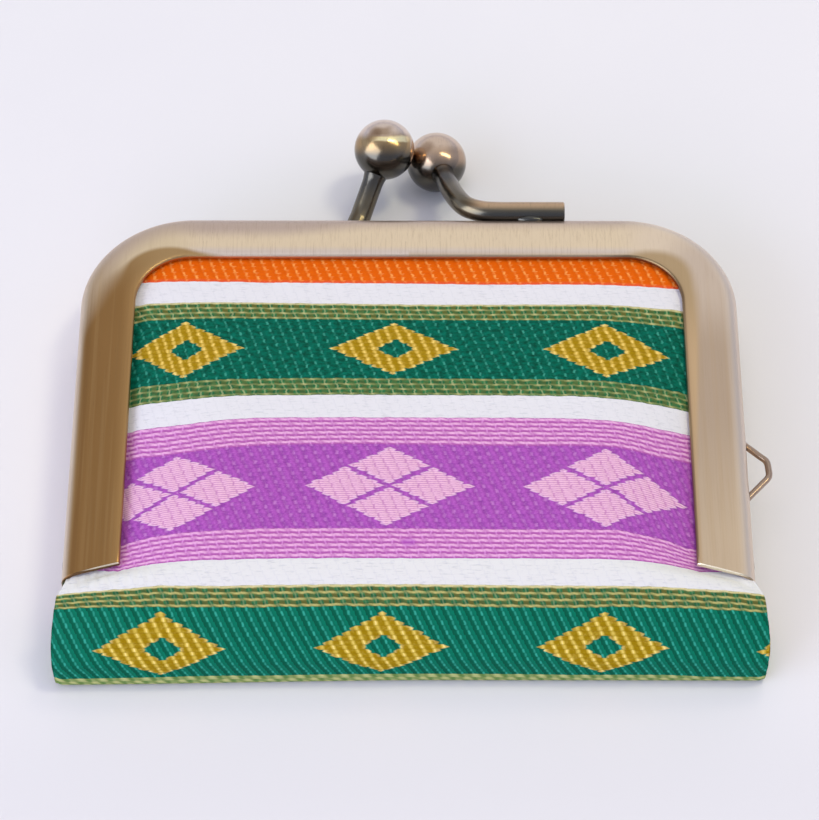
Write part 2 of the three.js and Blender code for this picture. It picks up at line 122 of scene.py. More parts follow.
class Val:
    """A number in a node tree, with arithmetic."""

    def __init__(self, net, sock):
        self.net, self.sock = net, sock

    def __add__(self, o): return self.net.f("ADD", self, o)
    def __radd__(self, o): return self.net.f("ADD", o, self)
    def __sub__(self, o): return self.net.f("SUBTRACT", self, o)
    def __rsub__(self, o): return self.net.f("SUBTRACT", o, self)
    def __mul__(self, o): return self.net.f("MULTIPLY", self, o)
    def __rmul__(self, o): return self.net.f("MULTIPLY", o, self)
    def __truediv__(self, o): return self.net.f("DIVIDE", self, o)


class Net:
    def __init__(self, name):
        self.mat = bpy.data.materials.new(name)
        self.mat.use_nodes = True
        self.nt = self.mat.node_tree
        self.nt.nodes.clear()

    def node(self, kind, **props):
        n = self.nt.nodes.new(kind)
        for k, v in props.items():
            setattr(n, k, v)
        return n

    def put(self, sock, value):
        if isinstance(value, Val):
            self.nt.links.new(value.sock, sock)
        elif value is not None:
            sock.default_value = value

    def f(self, op, a, b=None, c=None):
        n = self.node("ShaderNodeMath", operation=op)
        for s, x in zip(n.inputs, (a, b, c)):
            self.put(s, x)
        return Val(self, n.outputs[0])

    def less(self, a, b): return self.f("LESS_THAN", a, b)
    def more(self, a, b): return self.f("GREATER_THAN", a, b)
    def fract(self, a): return self.f("FRACT", a)
    def floor(self, a): return self.f("FLOOR", a)
    def abs(self, a): return self.f("ABSOLUTE", a)
    def max(self, a, b): return self.f("MAXIMUM", a, b)
    def min(self, a, b): return self.f("MINIMUM", a, b)
    def sin(self, a): return self.f("SINE", a)

    def smooth(self, a, b, x):
        n = self.node("ShaderNodeMapRange", interpolation_type="SMOOTHSTEP")
        flip = a > b
        self.put(n.inputs[0], x)
        n.inputs[1].default_value, n.inputs[2].default_value = min(a, b), max(a, b)
        n.inputs[3].default_value, n.inputs[4].default_value = (1, 0) if flip else (0, 1)
        return Val(self, n.outputs[0])

    def mix(self, fac, a, b):
        n = self.node("ShaderNodeMix", data_type="RGBA")
        self.put(n.inputs[0], fac)
        self.put(n.inputs[6], a)
        self.put(n.inputs[7], b)
        return Val(self, n.outputs[2])

    def mix_value(self, fac, a, b):
        return a + (b - a) * fac

    def vec(self, x, y, z=0.0):
        n = self.node("ShaderNodeCombineXYZ")
        for s, v in zip(n.inputs, (x, y, z)):
            self.put(s, v)
        return Val(self, n.outputs[0])

    def split(self, v):
        n = self.node("ShaderNodeSeparateXYZ")
        self.put(n.inputs[0], v)
        return [Val(self, o) for o in n.outputs]

    def noise(self, vec, scale=1.0, detail=2.0, rough=0.5):
        n = self.node("ShaderNodeTexNoise")
        self.put(n.inputs["Vector"], vec)
        n.inputs["Scale"].default_value = scale
        n.inputs["Detail"].default_value = detail
        n.inputs["Roughness"].default_value = rough
        return Val(self, n.outputs[0])

    def white(self, x, y):
        n = self.node("ShaderNodeTexWhiteNoise", noise_dimensions="2D")
        self.put(n.inputs["Vector"], self.vec(x, y))
        return Val(self, n.outputs[0])

    def ramp(self, fac, stops, interp="CONSTANT"):
        n = self.node("ShaderNodeValToRGB")
        n.color_ramp.interpolation = interp
        e = n.color_ramp.elements
        while len(e) > 1:
            e.remove(e[-1])
        e[0].position, e[0].color = stops[0]
        for p, c in stops[1:]:
            e.new(p).color = c
        self.put(n.inputs[0], fac)
        return Val(self, n.outputs[0])

    def attribute(self, name):
        n = self.node("ShaderNodeAttribute", attribute_name=name)
        return Val(self, n.outputs["Vector"])

    def place(self):
        """Object coordinates in millimetres of the design frame."""
        t = self.node("ShaderNodeTexCoord")
        n = self.node("ShaderNodeVectorMath", operation="MULTIPLY_ADD")
        self.nt.links.new(t.outputs["Object"], n.inputs[0])
        n.inputs[1].default_value = (1000, 1000, 1000)
        n.inputs[2].default_value = tuple(-SHIFT)
        return Val(self, n.outputs[0])

    def gain(self, col, by):
        n = self.node("ShaderNodeVectorMath", operation="SCALE")
        self.put(n.inputs[0], col)
        n.inputs["Scale"].default_value = by
        return Val(self, n.outputs[0])

    def bump(self, height, distance, strength=1.0, normal=None):
        n = self.node("ShaderNodeBump")
        n.inputs["Strength"].default_value = strength
        n.inputs["Distance"].default_value = distance
        self.put(n.inputs["Height"], height)
        if normal is not None:
            self.put(n.inputs["Normal"], normal)
        return Val(self, n.outputs[0])

    def surface(self, **sockets):
        n = self.node("ShaderNodeBsdfPrincipled")
        for k, v in sockets.items():
            self.put(n.inputs[k.replace("_", " ")], v)
        out = self.node("ShaderNodeOutputMaterial")
        self.nt.links.new(n.outputs[0], out.inputs[0])
        return n


# ---------------------------------------------------------------- the weave
# The cloth carries a "weave" attribute: u along the stripes in mm, v across them
# counted in weft rows, and s, the same way as v, in mm.
RIB_PITCH, RIB_SLOPE, RIB_TURN, ROW = 1.015, 0.30, 0.0024, 0.4625
REPEAT = 20.35
GOLD_HALF, GOLD_STEP, HOLE_HALF, HOLE_ROWS = 6.0, 0.82, 1.70, 2.55
PINK_HALF, PINK_STEP, PINK_SIDE, PINK_END = 3.62, 0.82, 4.12, 4.9

# v where each stripe begins, and what it is
STRIPES = [
    (-60, "orange"), (-5, "white"), (0, "gold_edge"), (3.5, "green"), (20, "gold_edge"),
    (23.5, "white"), (28, "pink_edge"), (34, "purple"), (54, "pink_edge"), (60, "white"),
    (65, "gold_edge"), (68.5, "green"), (85, "gold_edge"), (88.5, "white"), (93, "orange"),
    (118, "white"), (123, "gold_edge"), (126.5, "green"), (143, "gold_edge"), (146.5, "white"),
    (151, "pink_edge"), (157, "purple"), (177, "pink_edge"), (183, "white"), (188, "gold_edge"),
    (191.5, "green"),
]


def brocade_material():
    k = Net("brocade")
    u0, v0, s = k.split(k.attribute("weave"))
    drift = k.noise(k.vec(u0 * 0.22, s * 0.22), 1.0, 2.0)
    drift2 = k.noise(k.vec(u0 * 0.9, s * 0.35, 7.0), 1.0, 2.0)
    u = u0 + (drift - 0.5) * 0.3
    v = v0 + (drift2 - 0.5) * 0.36

    past = [k.more(v, float(p)) for p, _ in STRIPES] + [k.more(v, 1000.0)]
    here = {}
    for i, (_, n) in enumerate(STRIPES):
        m = past[i] - past[i + 1]
        here[n] = here[n] + m if n in here else m

    # twill ribs, stepped from weft row to weft row
    rv = v + 0.75 - 0.25 * here["purple"]
    row = k.floor(rv)
    at_row = k.fract(rv)
    held = s - (at_row - 0.5) * ROW

    # from the white below the purple field on, the same yarns get colours of their own: partly how the twill shows on
    # that band, partly painted light, since the band turns to face the front and is lit otherwise
    lower = k.smooth(60.0, 66.0, v)
    wobble = (k.noise(k.vec(u0 * 0.7, s * 1.9, 21.0), 1.0, 2.0, 0.6) - 0.5) * (0.42 - 0.22 * lower)

    def ribs_at(d):
        return (u - d * RIB_SLOPE - d * d * RIB_TURN) / RIB_PITCH + wobble

    run = ribs_at(s)
    tw = k.mix_value(0.75 - 0.35 * lower, run, ribs_at(held))
    tri = k.abs(k.fract(tw) - 0.5) * 2.0
    dash = 1.0 - k.f("POWER", k.abs(at_row - 0.5) * 2.0, 3.0)
    # every other crossing shows more, set over by one rib in the next row, like bricks
    rib = k.floor(tw + 0.5)
    brick = k.fract((rib + row) * 0.5) * 2.0
    chance = 0.36 * k.white(rib, row) + 0.64 * brick
    chance2 = 0.5 * k.white(rib, row + 311.0) + 0.5 * (1.0 - brick)
    roll = k.sin((run + k.floor(v)) * 3.14159 + 1.5708) * 0.5 + 0.5
    blotch = k.noise(k.vec(u * 1.6, s * 2.6, 3.0), 1.0, 3.0, 0.6)
    yarn = k.noise(k.vec(u * 3.2, s * 9.0, 5.0), 1.0, 2.0, 0.6)
    fleck = k.noise(k.vec(u * 6.0, s * 6.0, 11.0), 1.0, 2.0, 0.7)
    sway = k.sin(run * 6.2832)
    speck = k.smooth(0.66, 0.94, tri) * (0.4 + 0.6 * dash) * (0.05 + 0.95 * chance)
    seam = k.smooth(0.66, 0.96, tri) * (0.4 + 0.6 * dash) * (0.48 + 0.52 * chance)
    slope = k.fract(tw + 0.5)

    # orange
    orange = k.mix(blotch, lin(234, 106, 2), lin(214, 84, 0))
    orange = k.mix(k.smooth(0.6, 0.95, tri) * (0.25 + 0.75 * dash) * (0.15 + 0.85 * chance) * 0.9, orange, lin(250, 166, 84))
    orange = k.mix(k.smooth(0.3, 0.0, at_row) * k.smooth(0.35, 0.7, tri) * chance2 * 0.8, orange, lin(252, 176, 96))
    red_edge = k.smooth(-6.0, -5.2, v) * k.less(v, 0.0)
    orange = k.mix(red_edge * 0.5, orange, lin(228, 84, 66))

    # white
    thin = k.smooth(0.55, 0.72, k.noise(k.vec(u * 1.0, s * 6.5, 9.0), 1.0, 2.0, 0.55))
    # past the purple field the white is a shade yellower: painted light, offsetting the bluer light on the lower band
    white = k.mix(k.smooth(50.0, 58.0, v), lin(225, 224, 226), lin(225, 225, 221))
    white = k.mix(thin * 0.55, white, lin(200, 202, 207))

    white = k.mix(k.smooth(0.78, 0.98, tri) * 0.22, white, lin(204, 205, 211))

    # green field
    green = k.mix(k.smooth(0.3, 0.7, blotch), lin(0, 72, 54), lin(0, 108, 86))
    green = k.mix(speck * 0.8, green, lin(66, 164, 142))
    # on the lower band the green is dark on one side of each rib and light on the other: painted shade of the ribs
    deep = k.mix(slope * 0.75 + blotch * 0.25, lin(0, 76, 54), lin(0, 125, 94))
    deep = k.mix(seam * 0.97, deep, lin(56, 174, 148))
    green = k.mix(lower, green, deep)

    # gold diamonds
    centre = 11.75 + 65.0 * k.more(v, 45.0) + 58.0 * k.more(v, 105.0) + 65.0 * k.more(v, 165.0)
    along = k.abs(k.fract(u / REPEAT + 0.5) - 0.5) * REPEAT

    def from_row(d, slack):
        """How many rows off, part stepped, and the taper of a thread's end within its row."""
        whole = k.floor(d + 0.5)
        tooth = 1.0 - k.abs(d - whole) * 2.0
        odd = k.white(whole, k.floor(u / 10.0) + slack)
        return k.abs(whole) * 0.42 + k.abs(d) * 0.58, (tooth - 0.5) * 0.36 + (odd - 0.5) * 0.30

    g_rows, g_tooth = from_row(v - centre, 0.0)
    g_edge = GOLD_HALF + g_tooth - g_rows * GOLD_STEP - along
    inside = k.abs(k.fract((u - 0.18) / REPEAT + 0.5) - 0.5) * REPEAT
    hole = HOLE_HALF * (1.0 - k.f("POWER", g_rows / HOLE_ROWS, 1.35)) - g_tooth * 0.5 - inside
    gold_here = k.smooth(-0.1, 0.14, g_edge) * k.smooth(0.14, -0.1, hole) * here["green"]
    ochre = k.mix(lower, lin(160, 128, 8), lin(160, 130, 0))
    pale = k.mix(lower, lin(234, 197, 92), lin(240, 212, 92))
    gold = k.mix(k.smooth(0.45, 0.8, blotch) * 0.35, ochre, pale)
    gold = k.mix(k.smooth(0.45, 0.7, fleck) * 0.45, gold, lin(150, 108, 0))
    lump = 0.30 + 0.70 * dash * (0.35 + 0.65 * chance)
    gold = k.mix(k.smooth(0.38, 0.90, tri) * lump, gold, pale)
    # a painted highlight on the crests of the gold floats, stronger on the lower band
    gold = k.mix(k.smooth(0.80, 0.95, tri) * dash * chance * (0.4 + 0.4 * lower), gold, lin(252, 232, 146))
    gold = k.mix(k.smooth(0.24, 0.02, at_row) * k.smooth(0.8, 0.3, tri) * 0.5, gold, lin(136, 104, 12))
    gold_ends = k.max(k.smooth(0.6, 0.1, g_edge), k.smooth(-0.4, -0.05, hole))
    gold = k.mix(gold_ends * (0.08 + 0.42 * dash * chance), gold, lin(248, 222, 142))

    # gold and green edges
    wave = k.fract(v + 0.04 * sway + (yarn - 0.5) * 0.2)
    line = k.smooth(-0.08, 0.18, wave) * k.smooth(0.56, 0.26, wave)
    second = k.more(v, 12.0) * (1.0 - lower)
    olive = k.smooth(0.36, 0.62, k.noise(k.vec(u * 0.6, v * 0.7, 2.0), 1.0, 2.0))
    brown = k.smooth(0.66, 0.34, tri) * (0.45 + 0.55 * olive) * (1.0 - 0.45 * second)
    cell = k.mix(brown, k.mix(k.smooth(0.4, 0.62, blotch), lin(24, 90, 56), lin(50, 118, 70)), lin(98, 100, 46))
    tick = k.smooth(0.74, 0.96, tri) * (0.10 + (0.4 - 0.2 * lower) * chance2)
    lit = k.mix_value(lower, k.smooth(0.3, 0.9, tri), k.smooth(0.95, 0.3, tri))
    tone = k.mix((lit * 0.45 + roll * 0.40 + 0.10 * chance) * (0.62 + 0.38 * lower), lin(124, 136, 78), k.mix(lower, lin(232, 216, 148), lin(214, 200, 120)))
    edge = k.mix(line * (0.50 + 0.14 * chance + 0.34 * roll + 0.06 * lower - 0.22 * second), cell, tone)
    edge = k.mix(tick, edge, lin(196, 200, 142))
    braid = 0.12 + roll * 0.5 + k.sin(run * 6.2832 + 0.9) * 0.2 + (yarn - 0.5) * 0.5 + k.fract(v) * 0.2
    last = k.smooth(84.4, 85.2, v) * k.less(v, 105.0)
    edge = k.mix(last * 0.8, edge, k.mix(k.smooth(0.0, 0.9, braid), lin(82, 132, 60), lin(202, 208, 134)))
    by_white = (k.smooth(0.46, 0.06, k.abs(v - 0.08)) + k.smooth(0.46, 0.06, k.abs(v - 65.08))) * (0.55 + 0.45 * chance)
    edge = k.mix(by_white * 0.8, edge, lin(232, 220, 166))

    # purple field and pink diamonds
    # the purple is lighter across the middle of each rib than by its seams: painted shade of the ribs, mixed with
    # random blotches
    purple = k.mix(k.smooth(0.15, 0.85, blotch * 0.6 + (1.0 - tri) * 0.4), lin(130, 44, 146), lin(180, 92, 186))
    purple = k.mix(k.smooth(0.45, 0.95, tri) * (0.5 + 0.5 * dash) * (0.2 + 0.8 * chance) * 0.62 + k.smooth(0.5, 0.75, fleck) * 0.34, purple, lin(208, 140, 208))
    middle = 44.0 + 123.0 * k.more(v, 105.0)
    s_rows, s_tooth = from_row(v - middle, 40.0)
    e_rows, e_tooth = from_row(k.abs(v - middle) - PINK_END, 80.0)
    pink_edge = k.max(PINK_HALF + s_tooth - s_rows * PINK_STEP - k.abs(along - PINK_SIDE),
                      PINK_HALF + e_tooth - e_rows * PINK_STEP - along)
    pink_here = k.smooth(-0.1, 0.14, pink_edge) * here["purple"]
    pink_line = k.abs(k.fract(v * 2.0 + (yarn - 0.5) * 0.7) - 0.5) * 2.0
    pink = k.mix(k.smooth(0.35, 0.95, pink_line) * 0.8, lin(234, 188, 210), lin(194, 122, 178))
    pink = k.mix(k.smooth(0.68, 0.95, tri) * (0.25 + 0.5 * chance), pink, lin(196, 128, 180))
    pink = k.mix(k.smooth(0.5, 0.1, pink_edge) * 0.4, pink, lin(240, 206, 234))

    # pink and rose edges
    pwave = k.fract(v + 0.04 * sway + (yarn - 0.5) * 0.22 + (chance - 0.5) * 0.06)
    pline = k.smooth(0.0, 0.2, pwave) * k.smooth(0.74, 0.5, pwave)
    gap = k.smooth(0.7, 0.95, tri) * (0.3 + 0.7 * chance)
    bright = 0.55 + 0.45 * k.smooth(0.9, 0.2, tri)
    rose = k.mix(yarn, lin(168, 80, 158), lin(190, 104, 177))
    rose = k.mix(gap * 0.6, rose, lin(226, 158, 220))
    pedge = k.mix(pline * bright * (0.42 + 0.50 * roll + 0.08 * chance2), rose, lin(243, 192, 226))
    slub = k.smooth(1.0, 0.2, k.f("POWER", k.abs(u0 - 2.1) / 0.85, 2.0) + k.f("POWER", k.abs(v0 - 56.8) / 1.0, 2.0))
    pedge = k.mix(slub * 0.55, pedge, lin(172, 74, 182))

    col = k.mix(here["orange"], white, orange)
    col = k.mix(here["green"], col, green)
    col = k.mix(gold_here, col, gold)
    col = k.mix(here["gold_edge"], col, edge)
    col = k.mix(here["purple"], col, purple)
    col = k.mix(pink_here, col, pink)
    col = k.mix(here["pink_edge"], col, pedge)

    ribs = (1.0 - tri * tri) * (here["orange"] + here["green"] + here["purple"] * 0.6 + here["gold_edge"] * 0.4)
    wefts = (1.0 - k.f("POWER", k.abs(pwave * 2.0 - 0.7), 2.0)) * (here["pink_edge"] + here["gold_edge"] * 0.7 + 0.5 * pink_here)
    picks = dash * (here["orange"] + here["green"] + here["purple"]) * 0.35
    fibres = yarn * 0.5 + k.noise(k.vec(u * 9.0, s * 16.0, 1.0), 1.0, 2.0) * 0.35
    height = ribs * 0.9 + wefts * 0.7 + picks + (gold_here + pink_here) * 0.6 + fibres + here["white"] * thin * -0.5
    normal = k.bump(height, 0.00006, 0.85)
    rough = 0.8 - 0.16 * (here["white"] + pink_here + here["pink_edge"] * 0.6)
    k.surface(Base_Color=col, Roughness=rough, Specular_IOR_Level=0.09, Normal=normal)
    return k.mat


# the metals are written as they look in the room, which is dimmer than white
METAL, ROOM_LEVEL = 1.25, 0.80


def brushed_brass():
    k = Net("brushed_brass")
    x, y, z = k.split(k.place())
    lines = k.noise(k.vec(x * 5.0, y * 0.10, z * 5.0), 1.0, 4.0, 0.7)
    broad = k.noise(k.vec(x * 0.35, y * 0.06, z * 0.35), 1.0, 3.0, 0.55)
    fine = k.noise(k.vec(x * 11.0, y * 0.9, z * 11.0), 1.0, 2.0, 0.6)
    # distance in from the rim, and how far round the corner from leg to top
    dx = k.max(k.abs(x) - 21.2, 0.0)
    dy = k.max(y - 32.1, 0.0)
    n = 10.8 - k.f("SQRT", dx * dx + dy * dy)
    turn = k.f("ARCTAN2", dy, dx) / 1.5708
    left = k.less(x, 0.0)
    # one run from the foot (below 0) through the corner (0 to 1) along the top
    q = turn + (k.max(21.2 - k.abs(x), 0.0) - k.max(32.1 - y, 0.0)) / 12.7
    over_top = k.smooth(0.75, 1.1, q)

    # painted reflections: the pale cream top bar, the brown left leg, the tan right leg, the darker inner crescents at
    # the corners and the lighter strips at the rim and by the lip are painted into the colour, standing in for the room
    # mirrored in the bent sheet; the brush marks and streaks below are the metal's own
    m = n - 1.1 * k.smooth(-2.0, -14.0, x)
    cream = k.mix(k.smooth(0.5, 2.4, m), lin(186, 168, 156), lin(220, 202, 174))
    cream = k.mix(k.smooth(4.0, 5.0, n), cream, lin(208, 195, 186))
    left_bend = k.mix(k.smooth(1.0, 3.2, n), lin(188, 170, 154), lin(213, 195, 164))
    left_out = k.mix(k.smooth(0.15, 0.45, q), k.mix(k.smooth(0.0, 0.9, n), lin(196, 182, 166), lin(188, 168, 142)), left_bend)
    leg = k.mix(k.smooth(-2.3, -0.9, q), lin(200, 181, 156), lin(179, 160, 141))
    leg = k.mix(k.smooth(-0.5, 0.15, q), k.mix(broad * 0.5, leg, lin(166, 144, 120)), lin(196, 179, 162))
    right_out = k.mix(k.smooth(0.4, 0.75, q), leg, lin(217, 200, 178))
    right_out = k.mix(k.smooth(1.7, 0.5, n) * 0.6, right_out, lin(212, 200, 188))
    outer = k.mix(over_top, k.mix(left, right_out, left_out), cream)
    left_in = k.mix(broad, lin(150, 115, 72), lin(136, 103, 62))
    left_in = k.mix(k.smooth(4.0, 5.0, n) * 0.35, left_in, lin(172, 138, 92))
    left_in = k.mix(k.smooth(0.0, 0.8, q), left_in, lin(166, 137, 96))
    right_in = k.mix(k.smooth(-0.6, 0.2, q), lin(192, 164, 128), lin(176, 152, 118))
    inner = k.mix(left, right_in, left_in)
    edge_left = 0.5 + 2.5 * k.smooth(-0.35, 0.35, q) + 2.4 * k.smooth(0.40, 1.3, q)
    edge_right = 5.0 - 1.0 * k.smooth(-2.0, 0.0, q) - 0.7 * k.smooth(0.1, 0.45, q) + 1.9 * k.smooth(0.45, 1.05, q)
    edge = k.mix_value(left, edge_right, edge_left)
    soft = 0.32 + 0.3 * k.smooth(-0.4, 0.1, q) * (1.0 - left) + 1.0 * left * k.smooth(-0.45, 0.0, q) * k.smooth(0.45, 0.1, q)
    blend = k.smooth(-1.0, 1.0, (n - edge) / soft)
    col = k.mix(blend, outer, inner)
    marks = 0.10 + 0.26 * left * k.smooth(0.3, -0.2, q) + 0.14 * over_top
    streak = k.noise(k.vec(x * 1.9, y * 0.03, z * 1.9 + 40.0), 1.0, 2.0, 0.5)
    col = k.mix(k.smooth(0.5, 0.66, streak) * (0.10 + 0.10 * left) * k.smooth(0.5, 0.0, q), col, lin(176, 146, 102))
    col = k.mix(k.smooth(0.45, 0.75, lines) * marks, col, lin(136, 108, 72))
    col = k.mix(k.smooth(0.62, 0.82, fine) * marks * 0.9, col, lin(104, 84, 62))
    # the bent lip on the right is in its own shade
    col = k.mix(k.smooth(5.10, 5.28, n) * k.smooth(-18.0, 6.0, x) * (0.42 + 0.28 * k.smooth(-0.4, -2.0, q) + 0.4 * k.smooth(18.0, 22.0, x) * k.smooth(-0.4, 0.1, q)), col, lin(92, 76, 56))
    rough = 0.30 + lines * 0.14
    normal = k.bump(lines * 0.6 + fine * 0.4, 0.00001, 0.5)
    k.surface(Base_Color=k.gain(col, METAL), Metallic=1.0, Roughness=rough, Normal=normal)
    return k.mat


def dark_brass():
    k = Net("clasp_bronze")
    x, y, z = k.split(k.place())
    cloud = k.noise(k.vec(x * 0.35, y * 0.35, z * 0.35), 1.0, 3.0, 0.6)
    fine = k.noise(k.vec(x * 7.0, y * 1.2, z * 1.2), 1.0, 3.0, 0.6)
    balls = k.smooth(47.8, 50.0, y)
    right = k.more(x, 0.14)
    # each ball is painted pale above and dark below: a painted reflection of the bright room above it and the dark
    # frame under it
    rise = ((y - 53.25 - 1.1 * right) * 0.81 + (z - 6.35 + 3.3 * right) * 0.59) / 3.05 + (cloud - 0.5) * 0.3
    tone = k.mix(k.smooth(0.25, 0.6, rise), k.mix(right, lin(150, 126, 92), lin(168, 144, 122)), k.mix(right, lin(200, 184, 172), lin(196, 176, 158)))
    side = (x + 2.5) / 3.05
    # a darker brown patch above the pale band on the left ball: painted reflection
    painted_dark_patch = k.smooth(0.40, 0.50, rise) * k.smooth(0.78, 0.62, rise) * k.smooth(0.50, 0.15, k.abs(side + 0.1)) * (1.0 - right)
    tone = k.mix(painted_dark_patch * 0.7, tone, lin(138, 112, 84))
    # a pale band across the left ball: painted highlight of a long lamp
    bright = k.smooth(0.16, 0.25, rise) * k.smooth(0.42, 0.33, rise) * k.smooth(-0.55, -0.15, side) * (1.0 - right)
    tone = k.mix(bright * k.smooth(0.95, 0.6, side) * 0.9, tone, lin(244, 226, 176))
    # the underside of each ball is painted dark: painted reflection of the frame below it
    tone = k.mix(k.smooth(0.16, -0.3, rise), tone, lin(80, 78, 74))
    col = k.mix(cloud, lin(94, 90, 80), lin(108, 98, 80))
    # the rod along the top of the frame is painted lighter on its upper side and dark on its lower side: painted
    # reflection and shade
    bar = k.smooth(5.4, 7.4, x) * k.less(y, 46.0)
    height = ((y - 43.8) * 0.81 + (z - 7.9) * 0.59) / 1.05
    col = k.mix(bar * k.smooth(0.1, 0.7, height), col, lin(178, 152, 124))
    col = k.mix(bar * k.smooth(0.25, -0.25, height), col, lin(76, 76, 74))
    # the chain loop and the right rivet, right of x 31, are painted lighter than the rest of the bronze: painted light
    col = k.mix(k.more(x, 31.0), col, lin(154, 134, 118))
    col = k.mix(balls, col, tone)
    col = k.mix(k.smooth(0.5, 0.8, fine) * 0.2, col, lin(88, 72, 52))
    normal = k.bump(fine, 0.00001, 0.5)
    k.surface(Base_Color=k.gain(col, METAL), Metallic=1.0, Roughness=0.26 - balls * 0.06, Normal=normal)
    return k.mat


def cut_brass():
    k = Net("cut_edge")
    x, y, z = k.split(k.place())
    n = k.noise(k.vec(x * 6.0, y * 6.0, z * 1.5), 1.0, 3.0, 0.6)
    right = k.more(x, 0.0)
    # a painted highlight runs along the upper edge of each cut end, wider on the right foot, and along the lowest edge
    # of the back arch's cut ends
    painted_edge_highlight = k.mix_value(right, k.smooth(8.62, 8.72, z), k.smooth(8.28, 8.36, z) * k.smooth(32.0, 30.4, x))
    painted_edge_highlight = k.max(painted_edge_highlight, k.smooth(0.92, 0.80, z))
    # on the left foot the cut face just under that edge is painted dark brown, a painted shadow, growing lighter
    # further down
    dull = k.mix(right, k.mix(k.smooth(7.0, 8.0, z), lin(192, 174, 156), lin(116, 86, 56)), lin(178, 158, 132))
    col = k.mix(painted_edge_highlight, dull, k.mix(n, lin(255, 250, 236), lin(244, 226, 188)))
    k.surface(Base_Color=col, Metallic=1.0, Roughness=0.34 + n * 0.15, Normal=k.bump(n, 0.00001, 0.5))
    return k.mat


def table_material():
    k = Net("table_top")
    x, y, z = k.split(k.place())
    n = k.noise(k.vec(x * 0.05, y * 0.05, z), 1.0, 3.0)
    grain = k.noise(k.vec(x * 2.0, y * 2.0, z), 1.0, 2.0)
    col = k.mix(n, lin(231, 230, 231), lin(227, 226, 228))
    # painted shade: the table is painted a little darker towards the front, from y -4 to -18 mm
    col = k.mix(k.smooth(-4.0, -18.0, y), col, lin(224, 223, 225))
    k.surface(Base_Color=col, Roughness=0.55, Specular_IOR_Level=0.25, Normal=k.bump(grain, 0.00002, 0.3))
    return k.mat


BROCADE, BRUSHED, BRONZE, CUT = brocade_material(), brushed_brass(), dark_brass(), cut_brass()

# ---------------------------------------------------------------- cloth
CLOTH = 0.9
GROOVE_Z, BACK_GROOVE_Z = 8.05, 1.35
CX, CY, TUCK_R, FREE = 21.2, 32.1, 8.6, 5.42
LIP, TUCK = 26.66, 29.8
RUN, POWER = 11.0, 2.4

# middle y, z; end y, z; half width; where the dome ends; sideways offset of the bag
FRONT_ROWS = [
    (40.70, 8.05, 40.70, GROOVE_Z, 21.2, 21.2, 0), (39.69, 8.05, 39.69, GROOVE_Z, 25.3, 21.2, 0),
    (37.63, 8.12, 37.63, GROOVE_Z, 27.8, 21.2, 0), (35.04, 8.60, 35.04, GROOVE_Z, 29.3, 25.4, 0),
    (32.10, 8.87, 32.10, GROOVE_Z, TUCK, LIP, 0), (29.30, 9.20, 29.30, GROOVE_Z, TUCK, LIP, 0),
    (25.50, 9.52, 25.50, GROOVE_Z, TUCK, LIP, 0), (20.00, 9.95, 20.00, GROOVE_Z, TUCK, LIP, 0),
    (13.90, 10.22, 13.90, GROOVE_Z, TUCK, LIP, 0), (8.80, 10.22, 8.80, GROOVE_Z, TUCK, LIP, 0),
    (4.50, 10.08, 4.60, GROOVE_Z, TUCK, LIP, 0), (1.50, 9.74, 1.20, 7.95, 31.25, 26.7, 0),
    (-0.30, 9.38, -0.40, 8.05, 31.9, 30.6, 0.2), (-1.35, 8.98, -1.50, 8.00, 32.45, 32.2, 0.2),
    (-2.80, 7.80, -2.80, 7.00, 32.75, 32.6, 0.2), (-3.95, 6.30, -3.95, 5.70, 32.95, 32.8, 0.2),
    (-4.85, 4.80, -4.90, 4.40, 33.05, 32.9, 0.2), (-5.84, 3.10, -5.94, 2.90, 33.0, 32.9, 0.2),
    (-5.96, 1.85, -6.03, 1.80, 32.95, 32.85, 0.2), (-6.09, 0.95, -6.11, 0.95, 32.9, 32.8, 0.2),
    (-5.98, 0.30, -5.99, 0.32, 32.85, 32.75, 0.2), (-5.20, 0.00, -5.20, 0.02, 32.8, 32.7, 0.2),
    (-4.45, 0.00, -4.45, 0.02, 32.75, 32.6, 0.2),
]
BACK_ROWS = [
    FRONT_ROWS[-1],
    (-3.40, 0.00, -3.40, 0.10, 32.6, 32.2, 0.2), (-1.90, 0.00, -1.80, 0.40, 32.4, 31.6, 0.2),
    (-0.60, 0.00, -0.40, 1.00, 31.7, 30.6, 0.2), (1.40, -0.80, 0.30, BACK_GROOVE_Z, TUCK, 26.55, 0),
    (10.0, -0.80, 10.0, BACK_GROOVE_Z, TUCK, LIP, 0), (20.0, -0.80, 20.0, BACK_GROOVE_Z, TUCK, LIP, 0),
    (29.3, 0.20, 29.3, BACK_GROOVE_Z, TUCK, LIP, 0), (32.1, 0.53, 32.1, BACK_GROOVE_Z, TUCK, LIP, 0),
    (35.04, 0.80, 35.04, BACK_GROOVE_Z, 29.3, 25.4, 0), (37.63, 1.28, 37.63, BACK_GROOVE_Z, 27.8, 21.2, 0),
    (39.69, 1.35, 39.69, BACK_GROOVE_Z, 25.3, 21.2, 0), (40.7, 1.35, 40.7, BACK_GROOVE_Z, 21.2, 21.2, 0),
]
# distance along the middle of the cloth from the top, and the weft row there
WARP = [(0.0, -18.2), (6.61, -5.0), (9.41, 0.0), (11.54, 3.5), (18.98, 20.0), (21.03, 23.5), (23.71, 28.0), (26.94, 34.0),
        (36.35, 54.0), (39.54, 60.0), (42.14, 65.0), (44.14, 68.5), (48.08, 76.75), (51.42, 85.0), (110.0, 203.4)]
# the stripes' repeat runs a little askew: where its middle lies at each distance
SKEW = [(0.0, -1.35), (15.3, -1.44), (31.6, -1.84), (47.6, -2.50), (110.0, -2.6)]


